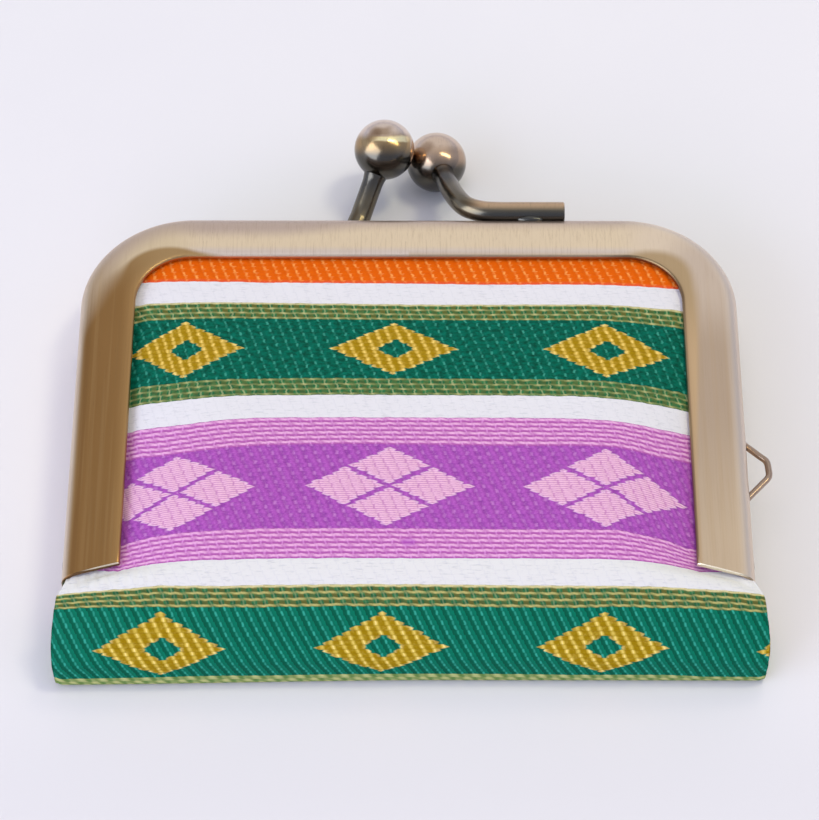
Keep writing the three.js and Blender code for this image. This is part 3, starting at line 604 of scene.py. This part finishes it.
# how far the stripes lie off their straight run, in mm along the cloth, for distances across and along
DRAPE_X = (-33.0, -28.0, -25.6, -23.0, -20.5, -16.9, -13.3, -6.1, 1.0, 8.3, 15.4, 19.5, 23.6, 25.7, 27.2, 33.0)
DRAPE = {
    2.0: (0.0, 0.0, 0.1, 0.1, 0.1, 0.1, 0.05, 0.0, 0.0, -0.1, -0.05, -0.05, -0.1, -0.1, -0.1, -0.1),
    6.61: (0.0, 0.04, 0.16, 0.26, 0.26, 0.22, 0.11, 0.05, 0.0, -0.13, -0.07, -0.10, -0.15, -0.14, -0.14, -0.1),
    9.41: (0.1, 0.13, 0.25, 0.32, 0.33, 0.29, 0.22, 0.12, 0.01, 0.01, 0.05, 0.06, -0.06, -0.02, -0.13, -0.1),
    21.03: (0.05, 0.05, -0.24, -0.41, -0.35, -0.19, -0.10, -0.03, -0.05, -0.09, -0.17, -0.38, -0.57, -0.63, -0.65, -0.6),
    23.71: (-0.05, -0.05, -0.50, -0.63, -0.70, -0.33, -0.17, -0.10, -0.15, -0.13, -0.20, -0.43, -0.73, -0.76, -0.68, -0.6),
    26.92: (-0.1, -0.10, -0.55, -0.96, -0.86, -0.50, -0.20, -0.04, -0.10, -0.23, -0.22, -0.26, -0.88, -0.77, -0.73, -0.7),
    36.35: (-0.7, -0.70, -0.72, -0.50, -0.39, -0.29, -0.09, -0.05, -0.07, -0.16, -0.17, -0.14, -0.88, -1.64, -1.40, -1.3),
    39.54: (0.9, 0.0, -0.04, -0.10, -0.16, -0.16, -0.05, 0.05, 0.0, 0.02, -0.02, -0.01, 0.04, 0.05, 0.02, 0.0),
    42.14: (-0.3, -0.37, -0.34, -0.06, -0.08, -0.07, 0.01, 0.09, 0.11, 0.02, -0.01, -0.04, -0.13, -0.21, -0.19, -0.1),
    44.14: (0.46, 0.26, 0.16, 0.10, 0.06, 0.04, 0.01, 0.09, 0.05, 0.0, -0.09, 0.05, -0.07, -0.06, -0.12, -0.1),
    48.08: (0.12, 0.08, 0.04, 0.02, 0.0, -0.02, -0.03, -0.02, 0.0, 0.0, -0.04, -0.09, -0.14, -0.17, -0.20, -0.29),
    51.17: (0.0, 0.0, 0.02, 0.04, 0.1, 0.12, 0.02, 0.06, 0.03, 0.0, -0.12, -0.1, -0.1, -0.2, -0.4, -0.4),
    57.0: (0.0,) * 16,
}


def drape(x, s):
    at = np.array(list(DRAPE))
    d = np.array([np.interp(x, DRAPE_X, r) for r in DRAPE.values()])
    i = np.clip(np.searchsorted(at, s) - 1, 0, len(at) - 2)
    f = np.clip((s - at[i]) / (at[i + 1] - at[i]), 0, 1)[:, None]
    rows = np.arange(len(s))
    return d[i, rows] * (1 - f) + d[i + 1, rows] * f


def fine_rows(table, step):
    t = np.array(table, float)
    at = np.r_[0, np.cumsum(np.hypot(*np.diff(t[:, :2], axis=0).T))]
    n = int(round(at[-1] / step / 4)) * 4 + 1
    q = np.linspace(0, at[-1], n)
    cols = [pchip(at, t[:, i], q) for i in range(t.shape[1])]
    y = cols[0]
    s = np.r_[0, np.cumsum(np.hypot(np.diff(cols[0]), np.diff(cols[1])))]
    above = np.clip(y - CY, 0, None)
    cols[4] = np.where(y > CY, CX + np.sqrt(np.clip(TUCK_R ** 2 - above ** 2, 0, None)), cols[4])
    cols[5] = np.where(y > CY, CX + np.sqrt(np.clip(FREE ** 2 - above ** 2, 0, None)), cols[5])
    return cols, s


def weave_of(x, s):
    ws, wv = np.array(WARP).T
    ks, kx = np.array(SKEW).T
    # and is drawn together at the ends of the middle band
    tight = 0.36 * smoothstep(-8.0, -22.0, x) - 0.5 * smoothstep(15.0, 26.0, x)
    tight = tight * smoothstep(22.0, 27.0, s) * smoothstep(40.0, 36.0, s)
    tight = tight + 0.85 * smoothstep(-18.5, -26.5, x) * smoothstep(9.0, 13.0, s) * smoothstep(22.0, 18.0, s)
    return np.stack([x - np.interp(s, ks, kx) - tight, np.interp(s, ws, wv), s], -1)


def zone(v, name):
    starts = np.array([p for p, _ in STRIPES])
    i = np.clip(np.searchsorted(starts, v, side="right") - 1, 0, len(STRIPES) - 1)
    return np.array([n == name for _, n in STRIPES])[i].astype(float)


def relief(w):
    """Height of the cloth's surface: twill ribs and the raised motif threads."""
    u, v, s = w[..., 0], w[..., 1], w[..., 2]
    tri = np.abs(np.mod((u - s * RIB_SLOPE - s * s * RIB_TURN) / RIB_PITCH, 1) - 0.5) * 2
    ribs = zone(v, "orange") + zone(v, "green") + 0.6 * zone(v, "purple") + 0.35 * zone(v, "gold_edge")
    along = np.abs(np.mod(u / REPEAT + 0.5, 1) - 0.5) * REPEAT
    centre = 11.75 + 65.0 * (v > 45) + 58.0 * (v > 105) + 65.0 * (v > 165)
    off = np.abs(v - centre) * 0.83
    gold = smoothstep(6.4, 5.8, along + off) * smoothstep(1.9, 2.4, along + off) * zone(v, "green")
    return 0.045 * (1 - tri ** 2) * ribs + 0.05 * gold


def cloth_surface(table, step, across_step, start_s, under):
    (ym, zm, ye, ze, half, lip, offset), s = fine_rows(table, step)
    nc = int(round(2 * 33.0 / across_step / 4)) * 4 + 1
    f = np.linspace(-1, 1, nc)
    across = f[None, :] * half[:, None]
    k = 1 - (1 - np.clip((lip[:, None] - np.abs(across)) / RUN, 0, 1)) ** POWER
    x = across + offset[:, None]
    y = ye[:, None] + (ym - ye)[:, None] * k
    z = ze[:, None] + (zm - ze)[:, None] * k
    # the bag's ends below the feet are rounded over
    closed = smoothstep(0.02, 0.2, offset)[:, None]
    over = smoothstep(0.7, 0.0, half[:, None] - np.abs(across)) ** 1.5 * 0.18 * closed
    # it sags to the left, and puckers where it leaves the left foot
    y = y - 0.58 * smoothstep(4.0, -36.0, x) * closed * smoothstep(-1.0, -5.0, y)
    foot = smoothstep(3.0, 1.2, y) * smoothstep(-2.2, -0.6, y) * smoothstep(-20.0, -27.0, x)
    z = z + 0.05 * np.sin(x * 6.9 + y * 0.6) * foot * (z > 5)
    # it dips under the left lip
    dip = smoothstep(1.3, 0.0, lip[:, None] - np.abs(across)) * (x < 0) * smoothstep(2.0, 5.0, y) * smoothstep(38.0, 30.0, y)
    z = z - 0.3 * dip * (z > 5)
    d = np.stack([-0.6 - y, 4.7 - z], -1)
    d /= np.maximum(np.linalg.norm(d, axis=-1, keepdims=True), 1e-6)
    y, z = y + over * d[..., 0], z + over * d[..., 1]
    z = np.maximum(z, 0.0)
    p = np.stack([x, y, z], -1)
    # the cloth is drawn up a little at the upper left
    drawn = np.interp(s + start_s, (0.0, 12.0, 20.0, 24.0), (0.5, 0.45, 0.12, 0.0))[:, None] * (1 - k) * smoothstep(2.0, -6.0, x)
    w = weave_of(x, (s + start_s)[:, None] + drawn + drape(x, s + start_s))
    return p, w, s[-1]


def normals_of(p, sign):
    n = np.cross(np.gradient(p, axis=0), np.gradient(p, axis=1))
    return sign * n / np.maximum(np.linalg.norm(n, axis=-1, keepdims=True), 1e-9)


def grid_faces(nr, nc, start=0, flip=False):
    i = np.arange(nr * nc).reshape(nr, nc) + start
    q = np.stack([i[:-1, :-1], i[1:, :-1], i[1:, 1:], i[:-1, 1:]], -1).reshape(-1, 4)
    return q[:, ::-1] if flip else q


def border(nr, nc, step=1):
    """Indices round the edge of a grid, in order."""
    i = np.arange(nr * nc).reshape(nr, nc)
    return np.concatenate([i[0, :-1:step], i[:-1:step, -1], i[-1, :0:-step], i[:0:-step, 0]])


def cloth_piece(b, p, w, thickness, sign, coarse=4):
    """One cloth with its relief, a plainer inside and closed edges, added to b."""
    n = normals_of(p, sign)
    outer = p + n * relief(w)[..., None]
    outer[..., 2] = np.maximum(outer[..., 2], 0.0)
    nr, nc = p.shape[:2]
    pi, ni = p[::coarse, ::coarse], n[::coarse, ::coarse]
    inner = pi - ni * thickness
    mr, mc = pi.shape[:2]
    flip = sign < 0
    start = b.n
    b.add(outer.reshape(-1, 3), grid_faces(nr, nc, 0, flip))
    b.w.append(w.reshape(-1, 3))
    first = b.n
    b.add(inner.reshape(-1, 3), grid_faces(mr, mc, 0, not flip))
    b.w.append(w[::coarse, ::coarse].reshape(-1, 3))
    ob, ib = border(nr, nc) + start, border(mr, mc) + first
    ob, ib = np.r_[ob, ob[0]], np.r_[ib, ib[0]]
    edge = []
    for j in range(len(ib) - 1):
        a, c = ib[j], ib[j + 1]
        o = ob[j * coarse:(j + 1) * coarse + 1]
        h = coarse // 2
        edge += [(a, o[t], o[t + 1]) for t in range(h)] + [(a, o[h], c)] + [(c, o[t], o[t + 1]) for t in range(h, coarse)]
    edge = [e[::-1] for e in edge] if not flip else edge
    b.f += [list(map(int, e)) for e in edge]
    b.m += [0] * len(edge)
    return outer


class ClothBuild(Build):
    def __init__(self):
        super().__init__()
        self.w = []

    def cloth(self, name):
        ob = self.done(name, [BROCADE], smooth_angle=0)
        a = ob.data.attributes.new("weave", "FLOAT_VECTOR", "POINT")
        a.data.foreach_set("vector", np.concatenate(self.w).astype(np.float32).ravel())
        return ob


coarse_look = 1.0
front = ClothBuild()
pf, wf, front_length = cloth_surface(FRONT_ROWS, 0.27 * coarse_look, 0.215 * coarse_look, 0.0, False)
outer = cloth_piece(front, pf, wf, CLOTH, 1.0)

back = ClothBuild()
pb, wb, back_length = cloth_surface(BACK_ROWS, 0.40 * coarse_look, 0.32 * coarse_look, front_length, True)
back_outer = cloth_piece(back, pb, wb, CLOTH, 1.0)

# the ends of the bag, between the front's edge and the back's edge below the feet
for side in (0, -1):
    fe, fw = pf[:, side], wf[:, side]
    be = pb[:, side]
    a0 = int(np.argmax(fe[:, 1] < 0.35))
    a0 -= (a0 - (len(fe) - 1)) % 4
    b1 = len(be) - 1 - int(np.argmax((be[:, 1] < 0.1)[::-1]))
    fa, wa = fe[a0:], fw[a0:]
    bb = be[: b1 + 1][::-1]
    t = np.linspace(0, 1, len(fa))
    tb = np.linspace(0, 1, len(bb))
    ba = np.stack([np.interp(t, tb, bb[:, i]) for i in range(3)], -1)
    m = 33
    g = np.linspace(0, 1, m)[None, :, None]
    cap = fa[:, None] * (1 - g) + ba[:, None] * g
    out = -1.0 if side == 0 else 1.0
    gap = np.linalg.norm(ba - fa, axis=1)[:, None]
    cap[..., 0] += out * 0.35 * np.sin(np.pi * g[..., 0]) * np.clip(gap / 4.0, 0, 1)
    order = np.argsort(fa[:, 2])
    wz = np.interp(cap[..., 2], fa[order, 2], wa[order, 1])
    ws = np.interp(cap[..., 2], fa[order, 2], wa[order, 2])
    ey = np.interp(cap[..., 2], fa[order, 2], fa[order, 1])
    ex = np.interp(cap[..., 2], fa[order, 2], wa[order, 0])
    wu = ex + out * np.maximum(cap[..., 1] - ey, 0.0)
    cloth_piece(front, cap, np.stack([wu, wz, ws], -1), CLOTH * 0.6, out)

cloth_front = front.cloth("cloth_front")
cloth_back = back.cloth("cloth_back")

# ---------------------------------------------------------------- frame
WIDTH, HEIGHT, CORNER = 32.0, 42.9, 10.8
SHEET, FOOT_SLANT, FACE_WIDTH = 0.55, 1.4, 5.4
FACE_Z, BACK_Z, MID_Z = 8.85, 0.55, 4.7
FACE_FALL = 0.22


def section():
    """Outer and inner points of the bent sheet, paired, as (inward, depth)."""
    o, i = [], []
    for n, d, e in ((5.40, 0.34, 0.40), (5.385, 0.22, 0.47), (5.33, 0.11, 0.52), (5.22, 0.035, 0.545), (5.06, 0.0, 0.55)):
        o.append((n, d)); i.append((n, e))
    for n in np.linspace(4.7, 1.6, 9):
        o.append((n, FACE_FALL * ((5.06 - n) / 3.46) ** 1.6)); i.append((n, 0.55 + 0.5 * FACE_FALL * ((5.06 - n) / 3.46) ** 1.6))
    for a in np.radians(np.linspace(8, 90, 11)):
        o.append((1.6 - 1.6 * math.sin(a), 1.6 - (1.6 - FACE_FALL) * math.cos(a)))
        i.append((1.6 - 1.05 * math.sin(a), 1.6 - 0.94 * math.cos(a)))
    for d in (2.1, 2.6):
        o.append((0, d)); i.append((0.55, d))
    for b in np.radians(np.linspace(0, 90, 8)):
        o.append((0.9 - 0.9 * math.cos(b), 3.1 + 0.9 * math.sin(b))); i.append((0.9 - 0.35 * math.cos(b), 3.1 + 0.35 * math.sin(b)))
    for n, d, e in ((2.2, 4.0, 3.45), (3.4, 4.0, 3.45), (4.35, 4.0, 3.45), (4.52, 3.96, 3.48), (4.6, 3.86, 3.58)):
        o.append((n, d)); i.append((n, e))
    return np.array(o), np.array(i)


def stations():
    """Rim points and inward directions round the arch, from the right foot."""
    pts, inw, leg = [], [], []
    for t in np.linspace(0, 1, 15)[:-1]:
        pts.append((WIDTH, t * CY)); inw.append((-1, 0)); leg.append(1 - t)
    for a in np.radians(np.linspace(0, 90, 30)):
        pts.append((CX + CORNER * math.cos(a), CY + CORNER * math.sin(a))); inw.append((-math.cos(a), -math.sin(a))); leg.append(0)
    for x in np.linspace(CX, -CX, 22)[1:-1]:
        pts.append((x, HEIGHT)); inw.append((0, -1)); leg.append(0)
    for a in np.radians(np.linspace(90, 180, 30)):
        pts.append((-CX + CORNER * math.cos(a), CY + CORNER * math.sin(a))); inw.append((-math.cos(a), -math.sin(a))); leg.append(0)
    for t in np.linspace(1, 0, 15)[1:]:
        pts.append((-WIDTH, t * CY)); inw.append((1, 0)); leg.append(1 - t)
    return np.array(pts), np.array(inw), np.array(leg)


def arch(b, show_z, facing):
    o, i = section()
    loop = np.concatenate([o, i[::-1]])
    pts, inw, leg = stations()
    ns, m = len(pts), len(loop)
    p = np.zeros((ns, m, 3))
    p[..., :2] = pts[:, None] + inw[:, None] * loop[None, :, :1]
    p[..., 1] += leg[:, None] * FOOT_SLANT * loop[None, :, 0] / FACE_WIDTH
    p[..., 2] = show_z - facing * loop[None, :, 1]
    # the cut ends are slightly broken at their edges
    mid = np.concatenate([(o + i) / 2, ((o + i) / 2)[::-1]])
    small = loop + (mid - loop) * 0.28
    ends = []
    for at, into in ((0, 1), (ns - 1, ns - 2)):
        e = p[at].copy()
        e[:, :2] = pts[at] + inw[at] * small[:, :1]
        e[:, 1] += FOOT_SLANT * small[:, 0] / FACE_WIDTH
        e[:, 2] = show_z - facing * small[:, 1]
        ends.append(e)
        p[at, :, 1] += 0.07
    rings = np.concatenate([ends[0][None], p, ends[1][None]])
    nr = len(rings)
    idx = np.arange(nr * m).reshape(nr, m)
    nxt = np.roll(idx, -1, axis=1)
    q = np.stack([idx[:-1], nxt[:-1], nxt[1:], idx[1:]], -1).reshape(-1, 4)
    if facing < 0:
        q = q[:, ::-1]
    caps = []
    h = len(o)
    for r, rev in ((0, facing > 0), (nr - 1, facing < 0)):
        for j in range(h - 1):
            c = [idx[r, j], idx[r, j + 1], idx[r, m - 2 - j], idx[r, m - 1 - j]]
            caps.append(c[::-1] if rev else c)
    edge_rings = set(range(m)) | set(range((nr - 2) * m, (nr - 1) * m))
    b.add(rings.reshape(-1, 3), [list(map(int, f)) for f in q], 0)
    start = b.n - nr * m
    b.f += [[int(k) + start for k in c] for c in caps]
    b.m += [2] * len(caps)
    first = len(b.m) - len(caps) - len(q)
    for j in list(range(m)) + list(range((nr - 2) * m, (nr - 1) * m)):
        b.m[first + j] = 2


def smooth_path(points, per=10):
    """Catmull-Rom through the points."""
    p = np.asarray(points, float)
    p = np.concatenate([[2 * p[0] - p[1]], p, [2 * p[-1] - p[-2]]])
    out = []
    for a in range(1, len(p) - 2):
        for t in np.linspace(0, 1, per, endpoint=False):
            p0, p1, p2, p3 = p[a - 1], p[a], p[a + 1], p[a + 2]
            out.append(0.5 * (2 * p1 + (p2 - p0) * t + (2 * p0 - 5 * p1 + 4 * p2 - p3) * t * t + (3 * p1 - p0 - 3 * p2 + p3) * t ** 3))
    out.append(p[-2])
    return np.array(out)


def tube(b, path, radius, sides=28, mat=0, chamfer=0.0):
    path = np.asarray(path, float)
    t = np.gradient(path, axis=0)
    t /= np.linalg.norm(t, axis=1, keepdims=True)
    ref = np.array([0, 0, 1.0])
    rings = []
    radii = np.full(len(path), radius, float) if np.isscalar(radius) else np.asarray(radius, float)
    nrm = ref - t[0] * (ref @ t[0])
    nrm /= np.linalg.norm(nrm)
    places = []
    for k in range(len(path)):
        nrm = nrm - t[k] * (nrm @ t[k])
        nrm /= np.linalg.norm(nrm)
        places.append((path[k], nrm.copy(), np.cross(t[k], nrm), radii[k]))
    if chamfer:
        c0, c1 = places[0], places[-1]
        places[0] = (c0[0] + t[0] * chamfer, c0[1], c0[2], c0[3])
        places.insert(0, (c0[0], c0[1], c0[2], c0[3] - chamfer))
        places[-1] = (c1[0] - t[-1] * chamfer, c1[1], c1[2], c1[3])
        places.append((c1[0], c1[1], c1[2], c1[3] - chamfer))
    a = np.linspace(0, 2 * math.pi, sides, endpoint=False)
    for c, e1, e2, r in places:
        rings.append(c + r * (np.cos(a)[:, None] * e1 + np.sin(a)[:, None] * e2))
    rings = np.array(rings)
    nr = len(rings)
    idx = np.arange(nr * sides).reshape(nr, sides)
    nxt = np.roll(idx, -1, axis=1)
    q = np.stack([idx[:-1], nxt[:-1], nxt[1:], idx[1:]], -1).reshape(-1, 4)
    faces = [list(map(int, f)) for f in q] + [list(map(int, idx[0][::-1])), list(map(int, idx[-1]))]
    b.add(rings.reshape(-1, 3), faces, mat)


def ball(b, centre, radius, mat=0, stretch=(1, 1, 1), nu=56, nv=36):
    v, f = [(0, 0, 1)], []
    for j in range(1, nv):
        th = math.pi * j / nv
        for i in range(nu):
            ph = 2 * math.pi * i / nu
            v.append((math.sin(th) * math.cos(ph), math.sin(th) * math.sin(ph), math.cos(th)))
    v.append((0, 0, -1))
    for i in range(nu):
        f.append([0, 1 + i, 1 + (i + 1) % nu])
        f.append([len(v) - 1, 1 + (nv - 2) * nu + (i + 1) % nu, 1 + (nv - 2) * nu + i])
    for j in range(nv - 2):
        for i in range(nu):
            a, c = 1 + j * nu + i, 1 + j * nu + (i + 1) % nu
            f.append([a, a + nu, c + nu, c])
    v = np.array(v) * radius * np.array(stretch) + np.array(centre)
    b.add(v, f, mat)


def turned(b, profile, centre, axis, mat=0, sides=40):
    """A shape turned about X: profile rows are (along, radius)."""
    a = np.linspace(0, 2 * math.pi, sides, endpoint=False)
    rings = []
    for x, r in profile:
        rings.append(np.stack([np.full(sides, centre[0] + axis * x), centre[1] + r * np.cos(a), centre[2] + r * np.sin(a)], -1))
    rings = np.array(rings)
    nr = len(rings)
    idx = np.arange(nr * sides).reshape(nr, sides)
    nxt = np.roll(idx, -1, axis=1)
    q = np.stack([idx[:-1], nxt[:-1], nxt[1:], idx[1:]], -1).reshape(-1, 4)
    faces = [list(f) for f in q] + [list(idx[0][::-1]), list(idx[-1])]
    if axis < 0:
        faces = [f[::-1] for f in faces]
    b.add(rings.reshape(-1, 3), [list(map(int, f)) for f in faces], mat)


def ear(b, x0, x1, root_z):
    """The hinge ear inside a leg: a round tab with a straight root."""
    up = 1 if root_z > MID_Z else -1
    a = np.radians(np.linspace(0, 180, 15))
    pts = [(3.4 + 1.5 * math.cos(t), MID_Z - up * 1.5 * math.sin(t)) for t in a] + [(1.9, root_z), (4.9, root_z)]
    n = len(pts)
    v = [(x0, y, z) for y, z in pts] + [(x1, y, z) for y, z in pts]
    f = [list(range(n)), list(range(n, 2 * n))[::-1]] + [[j, j + n, (j + 1) % n + n, (j + 1) % n] for j in range(n)]
    if (x1 > x0) == (up > 0):
        f = [g[::-1] for g in f]
    b.add(v, f, 0)


BALL, ROD = 3.05, 1.05
STEMS = {
    "front": [(15.45, 0.9, 7.9), (13.2, 0.9, 7.9), (11, 0.9, 7.9), (9.0, 0.9, 7.9), (7.3, 1.05, 7.88), (5.9, 1.75, 7.6), (5.05, 3.1, 6.95), (4.35, 5.2, 5.85), (2.79, 11.45, 3.05)],
    "back": [(-15.45, 0.9, 1.5), (-13.4, 0.9, 1.5), (-11.4, 0.9, 1.5), (-9.8, 0.9, 1.5), (-8.3, 1.0, 1.52), (-6.75, 1.55, 1.7), (-5.75, 2.75, 2.1), (-4.88, 4.6, 2.75), (-2.5, 10.35, 6.35)],
}


def clasp(b, which):
    pts = np.array(STEMS[which], float)
    pts[:, 1] += HEIGHT
    path = smooth_path(pts[:-1], 8)
    end = pts[-1]
    last = path[-1]
    neck = np.array([(0.15, 1.0), (0.3, 1.0), (0.42, 1.0), (0.48, 1.0), (0.52, 1.02), (0.56, 1.06), (0.6, 1.12), (0.8, 1.12)])
    radii = np.r_[np.full(len(path), ROD), ROD * neck[:, 1]]
    path = np.concatenate([path, [last + (end - last) * t for t in neck[:, 0]]])
    tube(b, path, radii, 32, 1, chamfer=0.12)
    ball(b, end, BALL, 1)
    # the tack of solder that holds the rod on the rim
    mid = (pts[0] + pts[2]) / 2
    ball(b, mid + np.array([-1.2 if which == "front" else 1.2, -1.0, 0.1 if which == "front" else -0.1]), 1.0, 1, (1.3, 0.48, 0.48), 28, 18)


front_arch, back_arch = Build(), Build()
arch(front_arch, FACE_Z, 1.0)
arch(back_arch, BACK_Z, -1.0)
clasp(front_arch, "front")
clasp(back_arch, "back")
wire = smooth_path([(31.6, 17.0, 6.1), (32.35, 16.35, 6.1), (33.3, 15.45, 6.1), (33.95, 14.8, 6.1), (34.12, 13.9, 6.1), (34.08, 13.0, 6.1), (33.45, 12.2, 6.1), (32.4, 11.0, 6.1), (31.6, 10.1, 6.1)], 8)
tube(front_arch, wire, 0.32, 16, 1)
for y in (16.55, 10.75):
    ball(front_arch, (31.95, y, 6.1), 0.55, 1, (0.5, 1.15, 1.0), 20, 14)
for out in (-1, 1):
    ear(back_arch, out * (WIDTH - 0.75), out * (WIDTH - 1.25), 2.0)
    ear(front_arch, out * (WIDTH - 1.55), out * (WIDTH - 2.05), 7.4)
METALS = [BRUSHED, BRONZE, CUT]
front_frame = front_arch.done("frame_front", METALS, smooth_angle=38)
back_frame = back_arch.done("frame_back", METALS, smooth_angle=38)

rivets = []
for out, name in ((-1, "left"), (1, "right")):
    r = Build()
    dome = [(-2.85, 0.9), (-2.8, 1.1), (-2.45, 1.12), (-2.4, 0.55), (-0.2, 0.55), (-0.15, 1.3), (0.0, 1.35)]
    dome += [(0.30 * math.sin(t), 1.35 * math.cos(t)) for t in np.radians([20, 40, 58, 72, 84])]
    turned(r, dome, (out * WIDTH, 3.4, MID_Z), out, 0)
    rivets.append(r.done("rivet_" + name, [BRONZE], smooth_angle=38))

# ---------------------------------------------------------------- each piece hangs under the root and hides the CAD part it replaces
for ob, nodes, slot in (
    (front_frame, ["front_frame"], "frame_brass"), (back_frame, ["back_frame"], "frame_brass"),
    (rivets[0], ["hinge_rivet_left"], "rivet_brass"), (rivets[1], ["hinge_rivet_right"], "rivet_brass"),
    (cloth_front, ["pouch_body"], "brocade"), (cloth_back, ["pouch_body"], "brocade"),
):
    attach(ob, "root")
    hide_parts(*nodes)

# ---------------------------------------------------------------- table, light and camera
S = 3000.0
floor = mesh_object("table", [(-S, -S, 0), (S, -S, 0), (S, S, 0), (-S, S, 0)], [(0, 1, 2, 3)], [table_material()], smooth_angle=0)

def soft_room():
    """A pale room: bright overhead and behind, dimmer on the side the picture is taken from."""
    world = bpy.data.worlds.new("soft_room")
    bpy.context.scene.world = world
    world.use_nodes = True
    nt = world.node_tree
    nt.nodes.clear()

    def toward(direction, lo, hi):
        d = np.asarray(direction, float)
        d /= np.linalg.norm(d)
        dot = nt.nodes.new("ShaderNodeVectorMath")
        dot.operation = "DOT_PRODUCT"
        nt.links.new(coord.outputs["Generated"], dot.inputs[0])
        dot.inputs[1].default_value = tuple(d)
        r = nt.nodes.new("ShaderNodeMapRange")
        r.interpolation_type = "SMOOTHSTEP"
        nt.links.new(dot.outputs["Value"], r.inputs[0])
        r.inputs[1].default_value, r.inputs[2].default_value = math.cos(math.radians(lo)), math.cos(math.radians(hi))
        return r.outputs[0]

    def mix(fac, a, b):
        n = nt.nodes.new("ShaderNodeMix")
        n.data_type = "RGBA"
        nt.links.new(fac, n.inputs[0])
        for s, v in ((n.inputs[6], a), (n.inputs[7], b)):
            if isinstance(v, tuple):
                s.default_value = v
            else:
                nt.links.new(v, s)
        return n.outputs[2]

    coord = nt.nodes.new("ShaderNodeTexCoord")
    col = (0.68, 0.73, 0.90, 1.0)
    for direction, lo, hi, shade in ROOM:
        col = mix(toward(direction, lo, hi), col, shade)
    bg = nt.nodes.new("ShaderNodeBackground")
    nt.links.new(col, bg.inputs[0])
    bg.inputs[1].default_value = ROOM_LEVEL
    out = nt.nodes.new("ShaderNodeOutputWorld")
    nt.links.new(bg.outputs[0], out.inputs[0])


# direction, where the shade starts and is full in degrees off it, and its colour
ROOM = [
    ((-0.95, 0.0, 0.25), 75.0, 25.0, (0.86, 0.94, 1.16, 1.0)),
    ((0.0, 0.62, 0.78), 60.0, 25.0, (0.99, 0.98, 1.01, 1.0)),
    ((0.15, -0.80, 0.58), 50.0, 20.0, (0.56, 0.58, 0.68, 1.0)),
    ((-0.55, 0.45, 0.70), 32.0, 12.0, (0.60, 0.54, 0.52, 1.0)),
]
soft_room()

MIDDLE = np.array([0.0, 20.0, 6.0])


def softbox(name, direction, distance, size, radiance, color=(1, 1, 1), shows=True, lights=True):
    """A soft panel; one that does not show leaves no reflection in the metal, one that does not light is only seen in it."""
    d = np.asarray(direction, float)
    d /= np.linalg.norm(d)
    light = bpy.data.lights.new(name, "AREA")
    light.shape = "RECTANGLE"
    light.size, light.size_y = size
    light.energy = radiance * math.pi * size[0] * size[1]
    light.color = color
    ob = bpy.data.objects.new(name, light)
    ob.location = Vector(row(MIDDLE)) + Vector(d) * distance
    ob.rotation_mode = "QUATERNION"
    ob.rotation_quaternion = Vector(-d).to_track_quat("-Z", "Y")
    bpy.context.scene.collection.objects.link(ob)
    ob.visible_glossy, ob.visible_diffuse = shows, lights
    return ob


softbox("key", (0.38, 0.16, 0.91), 0.75, (0.10, 0.16), 23.6, (0.99, 0.95, 0.68), shows=False)
softbox("strip", (0.58, -0.045, 0.82), 0.75, (0.07, 0.50), 12.0, (1.0, 0.88, 0.52), lights=False)
softbox("window", (-0.75, -0.50, 0.44), 0.80, (0.55, 0.50), 1.75, (0.80, 1.01, 1.38), shows=False)
softbox("pane", (-0.75, -0.50, 0.44), 0.79, (0.80, 0.72), 3.4, (0.95, 0.98, 1.04), lights=False)
softbox("behind", (0.30, 0.75, 1.0), 0.80, (0.11, 0.11), 8.0, (1.48, 1.40, 0.97), shows=False)
softbox("front", (-0.35, -0.85, 0.40), 0.90, (0.70, 0.35), 1.2, (1.98, 1.37, 2.08), shows=False)
softbox("top", (0.0, 0.05, 1.0), 0.80, (0.50, 0.50), 2.0, (0.47, 0.42, 0.46), shows=False)

TARGET, ELEVATION, DISTANCE, FOCAL_PX, ROLL = np.array([0.08, 20.17, 6.95]), math.radians(53.96), 333.4, 3484.6, 0.0014
back_dir = np.array([0, -math.cos(ELEVATION), math.sin(ELEVATION)])
right = np.array([1.0, 0, 0])
up = np.cross(back_dir, right)
right, up = math.cos(ROLL) * right + math.sin(ROLL) * up, -math.sin(ROLL) * right + math.cos(ROLL) * up
cam = bpy.data.cameras.new("camera")
cam.sensor_fit = "HORIZONTAL"
cam.sensor_width = 36.0
cam.lens = FOCAL_PX * 36.0 / 819.0
cam.clip_start, cam.clip_end = 0.01, 10.0
cam_ob = bpy.data.objects.new("camera", cam)
bpy.context.scene.collection.objects.link(cam_ob)
cam_ob.matrix_world = Matrix((
    (*[float(a) for a in (right[0], up[0], back_dir[0])], 0),
    (*[float(a) for a in (right[1], up[1], back_dir[1])], 0),
    (*[float(a) for a in (right[2], up[2], back_dir[2])], 0),
    (0, 0, 0, 1),
))
cam_ob.location = Vector(row(TARGET + back_dir * DISTANCE))
bpy.context.scene.camera = cam_ob
bpy.context.scene.view_settings.view_transform = "Standard"
bpy.context.scene.view_settings.look = "None"
